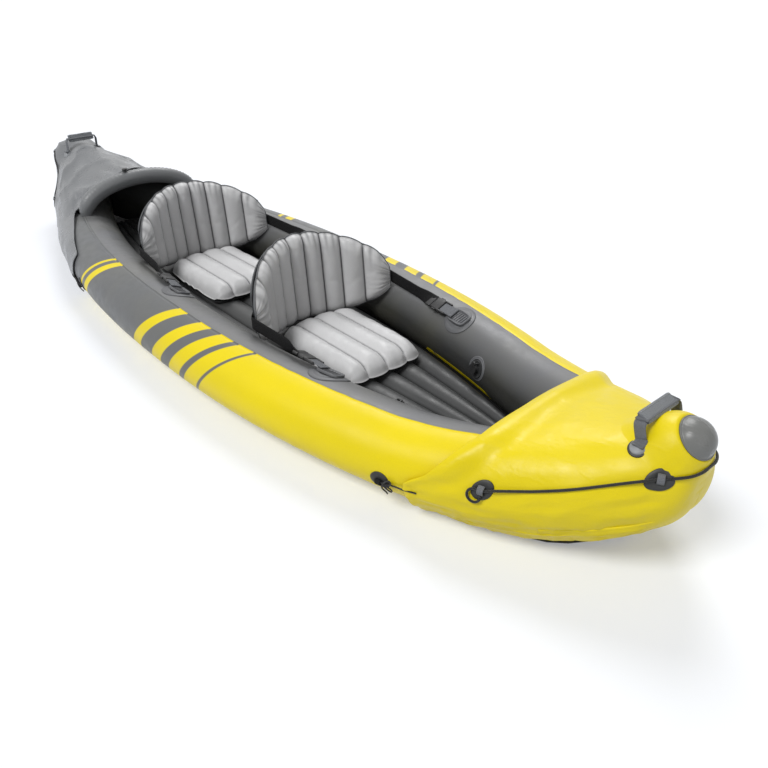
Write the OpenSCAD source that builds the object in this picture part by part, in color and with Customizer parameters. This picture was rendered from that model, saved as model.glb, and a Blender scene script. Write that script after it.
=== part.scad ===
// Two-seat inflatable kayak: side chambers, floor, end covers, seats and fittings.
// Millimetres. +X is the bow, +Y is port, +Z is up. The origin lies under the middle of the hull.

/* [Hull] */
// Overall length over both end covers
length = 3120; // [2900:10:3500]
// Overall beam over the side chambers
beam = 910; // [860:5:980]
// Width of one side chamber
tube_w = 232; // [210:2:250]
// Height of one side chamber amidships
tube_h = 186; // [170:2:210]
// Station of the greatest beam, forward of the middle
widest_x = 52; // [0:2:100]
// Rise of the chamber tops towards both ends
sheer_rise = 115; // [80:5:140]
// Further rise of the chamber tops at the stern
stern_rise = 28; // [0:2:40]
// Rise of the chamber undersides towards both ends
rocker_rise = 100; // [70:5:120]
// Height of the floor chamber
floor_h = 66; // [50:2:76]
// Number of lengthwise channels in the floor
floor_channels = 5; // [3:1:7]
// Thickness of the bottom sheet
sheet_t = 3.5; // [2:0.5:5]

/* [End covers] */
// Thickness of the cover fabric with its lining
cover_t = 4; // [2:0.5:6]
// Length of the bow cover along the deck
bow_cover_l = 394; // [340:2:460]
// Length of the stern cover along the deck
stern_cover_l = 690; // [620:5:760]
// Reach of the bow cover's side flap past its deck edge
flap_run = 92; // [40:2:140]
// Reach of the stern cover's side flap past its deck edge
stern_flap_run = 330; // [240:5:345]
// Height of the welded ridge along a cover's deck edge
ridge_h = 7; // [3:1:10]
// Crown of the bow deck between the chambers
bow_crown = 22; // [10:1:40]
// Tube diameter of the inflated stern hoop
hoop_d = 60; // [44:2:70]
// Height of the hoop's centre line over the chambers
hoop_h = 104; // [80:2:125]
// Radius of the moulded nose cap
cap_r = 43; // [38:1:48]
// Bulge of the nose cap over its rim
cap_h = 30; // [16:1:36]

/* [Seats] */
// Front edge of the front seat cushion, forward of the middle
seat_x = 660; // [615:5:690]
// Distance between the two seats
seat_pitch = 702; // [680:2:720]
// Length of a seat cushion
cushion_l = 382; // [350:2:386]
// Width of a seat cushion
cushion_w = 284; // [270:2:330]
// Height of a seat cushion's crown
cushion_h = 58; // [44:2:70]
// Lengthwise channels in a cushion
cushion_channels = 4; // [3:1:5]
// Width of a backrest over its wings
back_w = 472; // [450:2:490]
// Height of a backrest at its middle
back_h = 262; // [230:2:290]
// Forward wrap of the wings
back_wrap = 150; // [120:2:160]
// Upright channels in a backrest
back_channels = 9; // [7:2:11]
// Thickness of an inflated backrest channel
back_t = 42; // [34:1:48]
// Thickness of the panel behind a backrest
panel_t = 4; // [2:0.5:5]
// Thickness of the black base panel under a cushion
base_t = 4; // [3:0.5:6]
// Width of the seat straps
strap_w = 38; // [30:1:40]
// Thickness of the seat straps
strap_t = 2.5; // [1.5:0.5:3]

/* [Fittings] */
// Diameter of the grab lines
line_d = 6; // [4:0.5:8]
// Diameter of the round line patches
patch_d = 48; // [42:1:56]
// Thickness of welded patches and tabs
patch_t = 2.5; // [1.5:0.5:3]
// Diameter of the cord that ties down the covers
tie_d = 4; // [4:0.5:6]
// Span of a carry handle between its tabs
handle_span = 130; // [116:2:150]
// Height of a carry handle over its tabs
handle_h = 36; // [30:1:50]
// Length of the sleeve on a carry handle
grip_l = 92; // [80:1:100]
// Width of the handle webbing
webbing_w = 25; // [20:1:30]
// Thickness of the handle webbing
webbing_t = 2.5; // [2:0.5:3]
// Diameter of a chamber valve's flange
valve_d = 50; // [44:1:60]
// Diameter of a chamber valve's screw cap
valve_cap_d = 30; // [26:1:34]
// Diameter of the welded strap anchors
anchor_d = 104; // [90:2:120]

/* [Hidden] */
$fn = 48;

// Colours
yellow = "#f2dc16";
hull_grey = "#6f7073";
dark_grey = "#3a3b3d";
seat_grey = "#c3c4c6";
black = "#1b1b1c";

// Clearance between separate pieces
gap = 0.4;

// Hull lines
half_l = length / 2;
keel_clear = sheet_t + gap;
cover_gap = 0.8;
nose_gap = 1.2;
cover_out = cover_gap + nose_gap + cover_t;
chamber_tip = half_l - cover_out - line_d - gap;
nose_round = 152;
nose_power = 3.2;
width_round = 330;
width_power = 2.6;
plan_power = 2.29;
plan_short = 69;
plan_half_l = half_l - plan_short;
tip_centre_y = 20;
centre_max = (beam - tube_w) / 2;
tip_flat = 60;
sheer_run = 550;
sheer_power = 1.5;
sheer_start = half_l - tip_flat - sheer_run;
rocker_run = 350;
rocker_start = half_l - tip_flat - rocker_run;
seam_gap = 1;
bow = 1;
stern = -1;

function unit(t) = min(1, max(0, t));
function mix(a, b, t) = a + (b - a) * t;
function direction(v) = v / norm(v);
function smooth(t) = unit(t) * unit(t) * (3 - 2 * unit(t));

// Centre line, height and breadth of a chamber at a station
function plan(x) = pow(abs(x - widest_x) / plan_half_l, plan_power);
function centre_y(x) = max(tip_centre_y, centre_max * (1 - plan(x)));
function run_in(x, l) = unit((abs(x) - chamber_tip + l) / l);
function end_run(x) = run_in(x, nose_round);
function end_scale(x) = pow(1 - pow(end_run(x), nose_power), 1 / nose_power);
function width_scale(x) = pow(1 - pow(run_in(x, width_round), width_power), 1 / width_power);
function sheer(x) = pow(unit((abs(x) - sheer_start) / sheer_run), sheer_power);
function rocker(x) = pow(max(0, abs(x) - rocker_start) / rocker_run, 2);
function crest_z(x) = keel_clear + tube_h + (sheer_rise + (x < 0 ? stern_rise : 0)) * sheer(x);
function keel_z(x) = keel_clear + rocker_rise * rocker(x);
function mid_z(x) = (crest_z(x) + keel_z(x)) / 2;
function half_w(x) = tube_w / 2 * width_scale(x);
function half_h(x) = (crest_z(x) - keel_z(x)) / 2 * end_scale(x);

// A point of the port chamber's section: angle 0 is outboard, 90 the crest, 180 inboard
function hull_point(x, a, off) =
    [x, centre_y(x) + (half_w(x) + off) * cos(a), mid_z(x) + (half_h(x) + off) * sin(a)];
// The same point carried forward round the ends, for what lies on the skin
function skin(x, a, off) = hull_point(x, a, off) + [sign(x) * off * pow(end_run(x), 2), 0, 0];
function hull_normal(x, a) =
    direction(cross(hull_point(x, a + 1, 0) - hull_point(x, a - 1, 0),
                    hull_point(x + 1, a, 0) - hull_point(x - 1, a, 0)));
// Point given along the local axes of on_hull(): x downslope, y level, z outward
function hull_local(x, a, off, v) =
    let (n = hull_normal(x, a), turn = atan2(n[1], n[0]), tip = acos(n[2]))
    skin(x, a, off)
        + v[0] * [cos(tip) * cos(turn), cos(tip) * sin(turn), -sin(tip)]
        + v[1] * [-sin(turn), cos(turn), 0]
        + v[2] * n;
module on_hull(x, a, off) {
    n = hull_normal(x, a);
    translate(skin(x, a, off))
        rotate([0, acos(n[2]), atan2(n[1], n[0])])
            children();
}

// Deck of the end covers between and over the chambers
stern_crown = hoop_h + hoop_d / 2 - cover_t - ridge_h;
hoop_x = -(half_l - stern_cover_l);
stern_edge_x = hoop_x - hoop_d / 2 - gap;
bow_edge_x = half_l - bow_cover_l;
bow_tip_crown = 14;
stern_tip_crown = 14;
crown_reach = 0.62;
function stern_fall(x) = pow(unit((stern_edge_x - x) / (stern_cover_l - nose_round)), 1.5);
function crown(x) =
    end_scale(x) * (x > 0
        ? mix(bow_crown, bow_tip_crown, (x - bow_edge_x) / bow_cover_l)
        : mix(stern_crown, stern_tip_crown, stern_fall(x)));
function crown_w(x) = centre_y(x) + crown_reach * half_w(x);
function crown_at(x, y) = crown(x) * pow(max(0, 1 - pow(y / crown_w(x), 2)), 2);
function deck_z(x, y, off) =
    crown_at(x, y) + mid_z(x) + (half_h(x) + off)
        * sqrt(max(0, 1 - pow(max(0, abs(y) - centre_y(x)) / (half_w(x) + off), 2)));

// The same height for what lies on the cover, which is carried forward round the ends
function deck_skin_z(x, y, off) = deck_z(x - sign(x) * off * pow(end_run(x), 2), y, off);

// Height of the cover's flat facets, which join its rows at the chamber's stations
function station_before(x) = floor(asin(abs(x) / (chamber_tip * end_fill)) * chamber_steps / 90);
function deck_facet_z(x, y, off) =
    let (i = station_before(x), a = sign(x) * chamber_x(i), b = sign(x) * chamber_x(i + 1))
    mix(deck_z(a, y, off), deck_z(b, y, off), (x - a) / (b - a));
function deck_cover_z(x, y, off) = max(deck_skin_z(x, y, off), deck_facet_z(x, y, off));

// Closed solid through rings of equal count
module loft(rings) {
    n = len(rings[0]);
    last = (len(rings) - 1) * n;
    points = [for (ring = rings) for (p = ring) p];
    sides = [for (i = [0:len(rings) - 2]) for (j = [0:n - 1]) for (k = [0, 1])
        let (a = i * n + j, b = i * n + (j + 1) % n)
        k == 0 ? [a, b + n, b] : [a, a + n, b + n]];
    caps = [[for (j = [0:n - 1]) j], [for (j = [n - 1:-1:0]) last + j]];
    polyhedron(points, concat(sides, caps));
}

// Closed solid between two grids of equal size, joined round their edges
module sheet(top, under) {
    m = len(top);
    n = len(top[0]);
    size = m * n;
    points = [for (g = [top, under]) for (row = g) for (p = row) p];
    faces = [for (i = [0:m - 2]) for (j = [0:n - 2]) for (k = [0:3])
        let (a = i * n + j, b = a + 1, c = a + n, d = c + 1)
        [[a, b, d], [a, d, c], [size + a, size + d, size + b], [size + a, size + c, size + d]][k]];
    rim = concat([for (j = [0:n - 1]) j],
                 [for (i = [1:m - 1]) i * n + n - 1],
                 [for (j = [n - 2:-1:0]) (m - 1) * n + j],
                 [for (i = [m - 2:-1:1]) i * n]);
    count = len(rim);
    edge = [for (k = [0:count - 1]) for (h = [0, 1])
        let (p = rim[k], q = rim[(k + 1) % count])
        h == 0 ? [p, size + p, size + q] : [p, size + q, q]];
    polyhedron(points, concat(faces, edge));
}

// Round cord through points, with a ring of sides at each
function tangent(path, i) = direction(path[min(i + 1, len(path) - 1)] - path[max(i - 1, 0)]);
function cord_ring(p, t, d, sides) =
    let (s = direction(cross(t, abs(t[2]) > 0.9 ? [1, 0, 0] : [0, 0, 1])), r = cross(s, t))
    [for (k = [0:sides - 1]) p + d / 2 * (cos(360 * k / sides) * s - sin(360 * k / sides) * r)];
module cord(path, d, sides) {
    loft([for (i = [0:len(path) - 1]) cord_ring(path[i], tangent(path, i), d, sides)]);
}

module both_sides() {
    children();
    mirror([0, 1, 0]) children();
}

// Side chambers
chamber_steps = 18;
chamber_sides = 20;
end_fill = 0.9985;
function chamber_x(i) = chamber_tip * end_fill * sin(90 * i / chamber_steps);
function chamber_ring(x) =
    [for (k = [0:chamber_sides - 1])
        let (p = hull_point(x, 360 * k / chamber_sides, 0))
        [p[0], max(seam_gap / 2, p[1]), p[2]]];
module chamber() {
    loft([for (i = [-chamber_steps:chamber_steps])
        chamber_ring(chamber_x(i))]);
}
module starboard_chamber() {
    color(yellow) mirror([0, 1, 0]) chamber();
}
module port_chamber() {
    color(yellow) chamber();
}

// Floor chamber with lengthwise channels
floor_tip_half = 40;
floor_tip_fill = 0.7;
floor_groove = 20;
floor_steps = 14;
lobe_steps = 6;
floor_reach = plan_half_l * pow(1 - (tube_w / 2 + floor_tip_half) / centre_max, 1 / plan_power);
floor_bow_x = widest_x + floor_reach;
floor_stern_x = widest_x - floor_reach;
floor_top = keel_clear + floor_h;
function lobe(u, channels) = pow(abs(sin(180 * channels * u)), 0.6);
function floor_half(x) = centre_y(x) - tube_w / 2 - 2 * gap;
function floor_rise(u) = floor_h - floor_groove * (1 - lobe(u, floor_channels));
function floor_ring(x, fill) =
    let (w = floor_half(x), n = floor_channels * lobe_steps)
    concat([for (k = [0:n]) [x, w * (1 - 2 * k / n), keel_clear + fill * floor_rise(k / n)]],
           [[x, -w, keel_clear], [x, w, keel_clear]]);
module floor_chamber() {
    color(dark_grey)
        loft([for (i = [0:floor_steps])
            let (x = mix(floor_stern_x, floor_bow_x, i / floor_steps))
            floor_ring(x, i == 0 || i == floor_steps ? floor_tip_fill : 1)]);
}

// Flat sheet that closes the hull underneath, drawn out to a tongue that rises under each end
sheet_steps = 24;
tongue_steps = 8;
tongue_back = 115;
tongue_tip = half_l - tongue_back;
tongue_fill = 0.97;
tongue_power = 3.5;
tongue_rise = 0.6;
tongue_lag = 1.5;
function tongue_x(i) = mix(rocker_start, tongue_tip, tongue_fill * i / tongue_steps);
function sheet_x(i) = mix(-rocker_start, rocker_start, i / sheet_steps);
function sheet_half(x) =
    centre_y(sign(x) * min(abs(x), rocker_start))
        * (1 - pow(unit((abs(x) - rocker_start) / (tongue_tip - rocker_start)), tongue_power));
function sheet_ring(x) =
    let (w = sheet_half(x),
         low = tongue_rise * rocker_rise * pow(rocker(x), tongue_lag),
         high = low + sheet_t)
    [[x, w, low], [x, w, high], [x, -w, high], [x, -w, low]];
module bottom_sheet() {
    color(black)
        loft(concat([for (i = [tongue_steps:-1:1]) sheet_ring(-tongue_x(i))],
                    [for (i = [0:sheet_steps]) sheet_ring(sheet_x(i))],
                    [for (i = [1:tongue_steps]) sheet_ring(tongue_x(i))]));
}

// End covers, open underneath; past the edge their rows lie on the chamber's own stations
cover_low = -54;
flap_top = 72;
stern_flap_full = 40;
edge_rows = [0, 0.08, 0.2, 0.36, 0.68];
edge_run = 40;
deck_steps = 6;
side_angles = [for (a = [cover_low:360 / chamber_sides:90]) a];
side_last = len(side_angles) - 1;
function at_bow(edge) = edge == bow_edge_x;
function flap_reach(edge) = at_bow(edge) ? flap_run : stern_flap_run;
function flap_full(edge) = at_bow(edge) ? 0 : stern_flap_full;
function edge_station(edge, a) =
    edge - flap_reach(edge) * unit((flap_top - a) / (flap_top - flap_full(edge)));
function first_station(edge) =
    ceil(asin((edge + edge_run) / (chamber_tip * end_fill)) * chamber_steps / 90);
function cover_rows(edge) = len(edge_rows) + chamber_steps - first_station(edge) + 1;
function cover_station(edge, a, k) =
    k < len(edge_rows)
        ? mix(edge_station(edge, a), chamber_x(first_station(edge)), edge_rows[k])
        : chamber_x(first_station(edge) + min(k, cover_rows(edge) - 1) - len(edge_rows));
ridge_full = 70;
function ridge_low(edge) = at_bow(edge) ? 20 : 56;
function ridge(edge, k, a) =
    ridge_h * [0.5, 1, 0.4, 0, 0][min(k, 4)] * smooth((a - ridge_low(edge)) / (ridge_full - ridge_low(edge)));
// The last row draws the cover shut over the flat tip of the chambers
shut_scale = 0.08;
function shut(p, x) = [p[0], p[1] * shut_scale, mid_z(x) + (p[2] - mid_z(x)) * shut_scale];
function cover_side(end, edge, a, k, off, side) =
    let (x = end * cover_station(edge, a, k), p = skin(x, a, off),
         q = [p[0], side * p[1], p[2] + (a > 0 ? crown_at(x, p[1]) : 0)])
    k < cover_rows(edge) ? q : shut(q, x);
function cover_deck(end, edge, t, k, off) =
    let (x = end * cover_station(edge, 90, k), y = t * centre_y(x),
         q = [skin(x, 90, off)[0], y, deck_z(x, y, off)])
    k < cover_rows(edge) ? q : shut(q, x);
function cover_lift(edge, a, k, outer) =
    outer
        ? cover_out + ridge(edge, k, a)
        : cover_gap + nose_gap * (k < len(edge_rows) ? 1 : end_run(cover_station(edge, a, k)));
function cover_row(end, edge, k, outer) =
    concat([for (a = side_angles) cover_side(end, edge, a, k, cover_lift(edge, a, k, outer), -1)],
           [for (j = [1:deck_steps - 1])
               cover_deck(end, edge, mix(-1, 1, j / deck_steps), k, cover_lift(edge, 90, k, outer))],
           [for (j = [side_last:-1:0])
               let (a = side_angles[j])
               cover_side(end, edge, a, k, cover_lift(edge, a, k, outer), 1)]);
module end_cover(end, edge) {
    outside = [for (k = [0:cover_rows(edge)]) cover_row(end, edge, k, true)];
    inside = [for (k = [0:cover_rows(edge)]) cover_row(end, edge, k, false)];
    if (end == bow) sheet(outside, inside);
    else sheet(inside, outside);
}
module bow_cover() {
    color(yellow) end_cover(bow, bow_edge_x);
}
module stern_cover() {
    color(hull_grey) end_cover(stern, -stern_edge_x);
}

// Inflated hoop that holds the stern cover open
hoop_steps = 20;
hoop_sides = 12;
hoop_foot = mid_z(hoop_x) + half_h(hoop_x) + gap;
function hoop_point(a) = [hoop_x, centre_y(hoop_x) * cos(a), hoop_foot + hoop_h * sin(a)];
module stern_hoop() {
    color(hull_grey)
        loft([for (i = [0:hoop_steps])
            let (a = 180 * i / hoop_steps, t = direction(hoop_point(a + 1) - hoop_point(a - 1)))
            [for (k = [0:hoop_sides - 1])
                let (b = 360 * k / hoop_sides)
                hoop_point(a) + hoop_d / 2 * (cos(b) * [1, 0, 0] + sin(b) * cross(t, [1, 0, 0]))]]);
}

// Round nose cap, tipped forward on a collar raised from the bow cover
cap_tip = 48;
cap_back = 38;
cap_lip = 2;
cap_rise = 20;
cap_seat_back = 100;
cap_seat = half_l - cap_seat_back;
cap_at = [half_l - cap_back, 0, deck_z(cap_seat, 0, 0) + cap_rise];
collar_sides = 18;
collar_r = 60;
collar_rim = 1.1;
collar_core = 0.06;
collar_waist = 8;
collar_back = 54;
collar_x = half_l - collar_back;
collar_drop = 58;
collar_front = half_l - cover_out;
collar_low = cap_at[2] - collar_drop;
function on_cap(r, b, s) =
    cap_at + cap_r * r * [-sin(b) * sin(cap_tip), cos(b), sin(b) * cos(cap_tip)]
        + s * [cos(cap_tip), 0, sin(cap_tip)];
function collar_foot(r, b) =
    let (x = min(collar_front, collar_x - collar_r * r * sin(b)), y = collar_r * r * cos(b))
    [x, y, max(deck_skin_z(x, y, cover_out + 5 * gap), collar_low)];
function collar_ring(r, rise) =
    [for (k = [0:collar_sides - 1])
        let (b = 360 * k / collar_sides)
        mix(collar_foot(r, b), on_cap(collar_rim * r, b, 0), rise)
            - [0, 0, collar_waist * rise * (1 - rise)]];
module bow_nose_collar() {
    color(yellow)
        loft(concat([for (r = [collar_core, 0.5, 1]) collar_ring(r, 0)],
                    [for (rise = [0.35, 0.7, 1]) collar_ring(1, rise)],
                    [collar_ring(collar_core, 1)]));
}
module bow_nose_cap() {
    ball = (cap_r * cap_r + cap_h * cap_h) / (2 * cap_h);
    color(hull_grey)
        translate(on_cap(0, 0, gap)) rotate([0, 90 - cap_tip, 0]) {
            cylinder(r = cap_r + cap_lip, h = cap_lip);
            intersection() {
                translate([0, 0, cap_h - ball]) sphere(ball);
                cylinder(r = cap_r, h = cap_h + 1);
            }
        }
}

// Thin round patches that follow the chambers, the covers or the deck
patch_sides = 12;
patch_rings = [0.12, 0.56, 1];
function patch_ring(x, a, d, off) =
    let (along = norm(skin(x + 1, a, off) - skin(x - 1, a, off)) / 2,
         across = norm(skin(x, a + 1, off) - skin(x, a - 1, off)) / 2)
    [for (k = [0:patch_sides - 1])
        let (b = 360 * k / patch_sides)
        skin(x + d / 2 * cos(b) / along, a + d / 2 * sin(b) / across, off)];
module hull_patch(x, a, d, off) {
    loft(concat([for (k = [0:2]) patch_ring(x, a, d * patch_rings[k], off + patch_t)],
                [for (k = [2:-1:0]) patch_ring(x, a, d * patch_rings[k], off)]));
}
function deck_ring(x, y, d, off) =
    [for (k = [0:patch_sides - 1])
        let (b = 360 * k / patch_sides, u = x + d / 2 * cos(b), v = y + d / 2 * sin(b))
        [u, v, deck_cover_z(u, v, off)]];
module deck_patch(x, y, d, off) {
    loft(concat([for (k = [0:2]) deck_ring(x, y, d * patch_rings[k], off)],
                [for (k = [2:-1:0]) deck_ring(x, y, d * patch_rings[k], off + patch_t)]));
}

// Plate with round corners, lying on the XY plane
module round_plate(l, w, r, t) {
    linear_extrude(t) {
        square([l - 2 * r, w], center = true);
        square([l, w - 2 * r], center = true);
        for (i = [-1, 1], j = [-1, 1]) translate([i * (l / 2 - r), j * (w / 2 - r)]) circle(r);
    }
}

// Carry handles: riveted tabs, a webbing bail that swings on them, and its sleeve
bow_handle_back = 113;
stern_handle_back = 150;
function handle_x(end) = end * (half_l - (end == bow ? bow_handle_back : stern_handle_back));
tab_d = 36;
tab_reach = 9;
tab_seat = 2 * gap;
rivet_d = 6;
rivet_play = 0.1;
head_d = 11;
head_t = 2;
foot_clear = 2;
lug_t = 4;
grip_wall = 3;
bail_r = 14;
lug_y = handle_span / 2 + webbing_t / 2 + gap;
function lug_low(end) =
    deck_cover_z(handle_x(end) + end * tab_reach, handle_span / 2, cover_out) + tab_seat;
function pivot_z(end) = lug_low(end) + webbing_w / 2 + patch_t + foot_clear;
module handle_tabs(end) {
    both_sides() {
        deck_patch(handle_x(end), handle_span / 2, tab_d, cover_out + tab_seat);
        translate([handle_x(end) - tab_reach, lug_y, lug_low(end)])
            cube([2 * tab_reach, lug_t, pivot_z(end) - lug_low(end)]);
        translate([handle_x(end), handle_span / 2, pivot_z(end)]) rotate([-90, 0, 0]) {
            translate([0, 0, webbing_t / 2 + gap]) cylinder(r = tab_reach, h = lug_t);
            translate([0, 0, -webbing_t / 2 - gap - head_t])
                cylinder(d = rivet_d, h = webbing_t + 3 * gap + head_t);
            translate([0, 0, -webbing_t / 2 - gap - head_t]) cylinder(d = head_d, h = head_t);
        }
    }
}
module arch_face(w, h, r) {
    translate([-w / 2, 0]) square([w, h - r]);
    translate([r - w / 2, 0]) square([w - 2 * r, h]);
    for (side = [-1, 1]) translate([side * (w / 2 - r), h - r]) circle(r);
}
module bail_hoop() {
    translate([-webbing_w / 2, 0, 0]) rotate([90, 0, 90]) linear_extrude(webbing_w) difference() {
        arch_face(handle_span + webbing_t, handle_h + webbing_t / 2, bail_r + webbing_t / 2);
        translate([0, -1])
            arch_face(handle_span - webbing_t, handle_h + 1 - webbing_t / 2, bail_r - webbing_t / 2);
    }
}
module handle_strap(end) {
    translate([handle_x(end), 0, pivot_z(end)]) difference() {
        union() {
            bail_hoop();
            both_sides()
                translate([0, handle_span / 2 - webbing_t / 2, 0])
                    rotate([-90, 0, 0]) cylinder(d = webbing_w, h = webbing_t);
        }
        both_sides()
            translate([0, handle_span / 2 - webbing_t, 0])
                rotate([-90, 0, 0]) cylinder(d = rivet_d + 2 * rivet_play, h = 2 * webbing_t);
    }
}
module handle_grip(end) {
    translate([handle_x(end), grip_l / 2, pivot_z(end) + handle_h])
        rotate([90, 0, 0]) difference() {
            round_plate(webbing_w + 2 * grip_wall, webbing_t + 2 * grip_wall, grip_wall, grip_l);
            translate([0, 0, -1]) linear_extrude(grip_l + 2)
                square([webbing_w + gap, webbing_t + gap], center = true);
        }
}
module bow_handle_tabs() {
    color(black) handle_tabs(bow);
}
module bow_handle_strap() {
    color(hull_grey) handle_strap(bow);
}
module bow_handle_grip() {
    color(hull_grey) handle_grip(bow);
}
module stern_handle_tabs() {
    color(black) handle_tabs(stern);
}
module stern_handle_strap() {
    color(hull_grey) handle_strap(stern);
}
module stern_handle_grip() {
    color(hull_grey) handle_grip(stern);
}

// Grab lines round both ends, threaded through patches on the covers
line_back = 328;
line_back_a = 18;
line_fore = 55;
line_fore_a = 38;
loop_w = 14;
loop_t = 2;
loop_play = 3;
loop_sink = 0.8;
line_seat = cover_out + 2 * gap;
line_lift = line_seat + patch_t + line_d / 2 + 4 * gap;
line_low = cover_out + line_d / 2 + gap;
module cord_loop(r) {
    translate([0, 0, -loop_sink]) rotate([90, 0, 0]) rotate_extrude(angle = 180)
        translate([r, -loop_w / 2]) square([loop_t, loop_w]);
}
module line_patches(end) {
    both_sides()
        for (p = [[line_back, line_back_a], [line_fore, line_fore_a]]) {
            hull_patch(end * (half_l - p[0]), p[1], patch_d, line_seat);
            on_hull(end * (half_l - p[0]), p[1], line_seat + patch_t) cord_loop(line_d + loop_play);
        }
}
// Distance from the tip, section angle and lift of the line's points on one side
line_route = [
    [300, 20, line_lift], [260, 22, line_low], [220, 24, line_low], [180, 26, line_low],
    [140, 29, line_low], [105, 32, line_low], [84, 34, line_lift], [line_fore, line_fore_a, line_lift],
    [38, 42, line_lift], [27, 46, line_low + 3], [20, 44, line_low + 4]
];
line_tip_x = half_l - line_d / 2;
line_tip_rise = 32;
curl_r = 15;
function curl(x, rise, v) =
    hull_local(x, line_back_a, line_seat, [v[0], v[1], rise - v[0] * v[0] / tube_w]);
function line_side(end) =
    let (x = end * (half_l - line_back), rise = line_lift - line_seat)
    concat([for (b = [270:-30:0])
                curl(x, rise, [curl_r * (1 - cos(b)), end * (loop_w + curl_r * sin(b))])],
           [curl(x, rise, [0, 0])],
           [for (p = line_route) skin(end * (half_l - p[0]), p[1], p[2])],
           [for (y = [44, 24, 6]) [end * line_tip_x, y, mid_z(end * chamber_tip) + line_tip_rise]]);
module grab_line(end) {
    port = line_side(end);
    back = [for (i = [len(port) - 1:-1:0]) [port[i][0], -port[i][1], port[i][2]]];
    cord(concat(port, back), line_d, 8);
}
module bow_line_patches() {
    color(black) line_patches(bow);
}
module bow_grab_line() {
    color(black) grab_line(bow);
}
module stern_line_patches() {
    color(black) line_patches(stern);
}
module stern_grab_line() {
    color(black) grab_line(stern);
}

// Cords that tie the cover flaps down to patches on the hull sides
tie_a = -11;
tie_back = 74;
tie_patch_d = 50;
tie_rise = 2 * gap + patch_t + tie_d / 2 + 2 * gap;
tie_over = cover_out + tie_d / 2 + gap;
function tie_x(edge) = edge_station(edge, tie_a) - tie_back;
// Distance ahead of the patch, section angle and lift of a tie's points
tie_route = [
    [-12, tie_a, tie_rise], [0, tie_a, tie_rise], [20, tie_a + 1, tie_rise], [42, tie_a + 2, tie_rise],
    [62, tie_a + 3, tie_over], [78, tie_a + 4, tie_over + 1], [96, tie_a + 4, tie_over]
];
module tie_patches(end, edge) {
    both_sides() {
        hull_patch(end * tie_x(edge), tie_a, tie_patch_d, 2 * gap);
        on_hull(end * tie_x(edge), tie_a, 2 * gap + patch_t) cord_loop(tie_d + loop_play);
    }
}
module cover_ties(end, edge) {
    both_sides()
        cord([for (p = tie_route) hull_point(end * (tie_x(edge) + p[0]), p[1], p[2])], tie_d, 8);
}
module bow_tie_patches() {
    color(black) tie_patches(bow, bow_edge_x);
}
module bow_cover_ties() {
    color(black) cover_ties(bow, bow_edge_x);
}
module stern_tie_patches() {
    color(black) tie_patches(stern, -stern_edge_x);
}
module stern_cover_ties() {
    color(black) cover_ties(stern, -stern_edge_x);
}

// Valves: a flanged seat, and a cap on a tether hinge at its upper edge
valve_x = 850;
valve_a = 168;
flange_t = 3;
neck_h = 7;
cap_lap = 2;
neck_d = valve_cap_d - 2 * cap_lap;
neck_wall = 3;
valve_cap_t = 6;
hinge_d = 5;
pin_d = 2.5;
ear_t = 3;
ear_play = 0.5;
knuckle_w = 8;
knuckle_out = 1;
ear_in = knuckle_w / 2 + ear_play;
pin_l = 2 * (ear_in + ear_t);
hinge_out = valve_cap_d / 2 + hinge_d / 2 + knuckle_out;
hinge_z = flange_t + neck_h + valve_cap_t / 2;
module valve_seat() {
    difference() {
        union() {
            cylinder(d = valve_d, h = flange_t);
            cylinder(d = neck_d, h = flange_t + neck_h);
            both_sides()
                translate([-hinge_out - hinge_d / 2, ear_in, 0])
                    cube([hinge_d, ear_t, hinge_z + hinge_d / 2]);
        }
        translate([0, 0, flange_t]) cylinder(d = neck_d - 2 * neck_wall, h = neck_h + 1);
    }
    translate([-hinge_out, -pin_l / 2, hinge_z]) rotate([-90, 0, 0]) cylinder(d = pin_d, h = pin_l);
}
module valve_cap() {
    difference() {
        union() {
            translate([0, 0, flange_t + neck_h + gap]) cylinder(d = valve_cap_d, h = valve_cap_t - gap);
            translate([-hinge_out, -knuckle_w / 2, hinge_z])
                rotate([-90, 0, 0]) cylinder(d = hinge_d, h = knuckle_w);
            translate([-hinge_out, -knuckle_w / 2, hinge_z]) cube([hinge_out, knuckle_w, valve_cap_t / 2]);
        }
        translate([-hinge_out, -knuckle_w, hinge_z])
            rotate([-90, 0, 0]) cylinder(d = pin_d + 2 * rivet_play, h = 2 * knuckle_w);
    }
}
module port_valve_seat() {
    color(dark_grey) on_hull(valve_x, valve_a, gap) valve_seat();
}
module port_valve_cap() {
    color(dark_grey) on_hull(valve_x, valve_a, gap) valve_cap();
}
module starboard_valve_seat() {
    mirror([0, 1, 0]) port_valve_seat();
}
module starboard_valve_cap() {
    mirror([0, 1, 0]) port_valve_cap();
}
floor_valve_in = 357;
floor_valve_x = floor_stern_x + floor_valve_in;
floor_valve_at = [floor_valve_x, -floor_half(floor_valve_x) * 0.4, floor_top + gap];
module floor_valve_seat() {
    color(dark_grey) translate(floor_valve_at) valve_seat();
}
module floor_valve_cap() {
    color(dark_grey) translate(floor_valve_at) valve_cap();
}
stem_d = 16;
stem_h = 8;
stem_wall = 2.5;
stem_floor = 2;
plug_d = 20;
plug_t = 4;
plug_depth = 2;
plug_pin_d = 2;
plug_knuckle = 4;
post_t = 3;
post_in = plug_knuckle / 2 + ear_play;
plug_hinge_out = 1.5;
plug_hinge_x = plug_d / 2 + plug_pin_d / 2 + plug_hinge_out;
plug_hinge_z = stem_h + gap;
hoop_valve_a = 100;
module hoop_valve_place() {
    t = hoop_point(hoop_valve_a + 1) - hoop_point(hoop_valve_a - 1);
    translate(hoop_point(hoop_valve_a)) rotate([atan2(-t[2], -t[1]), 0, 0])
        translate([0, 0, hoop_d / 2 + gap]) children();
}
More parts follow.
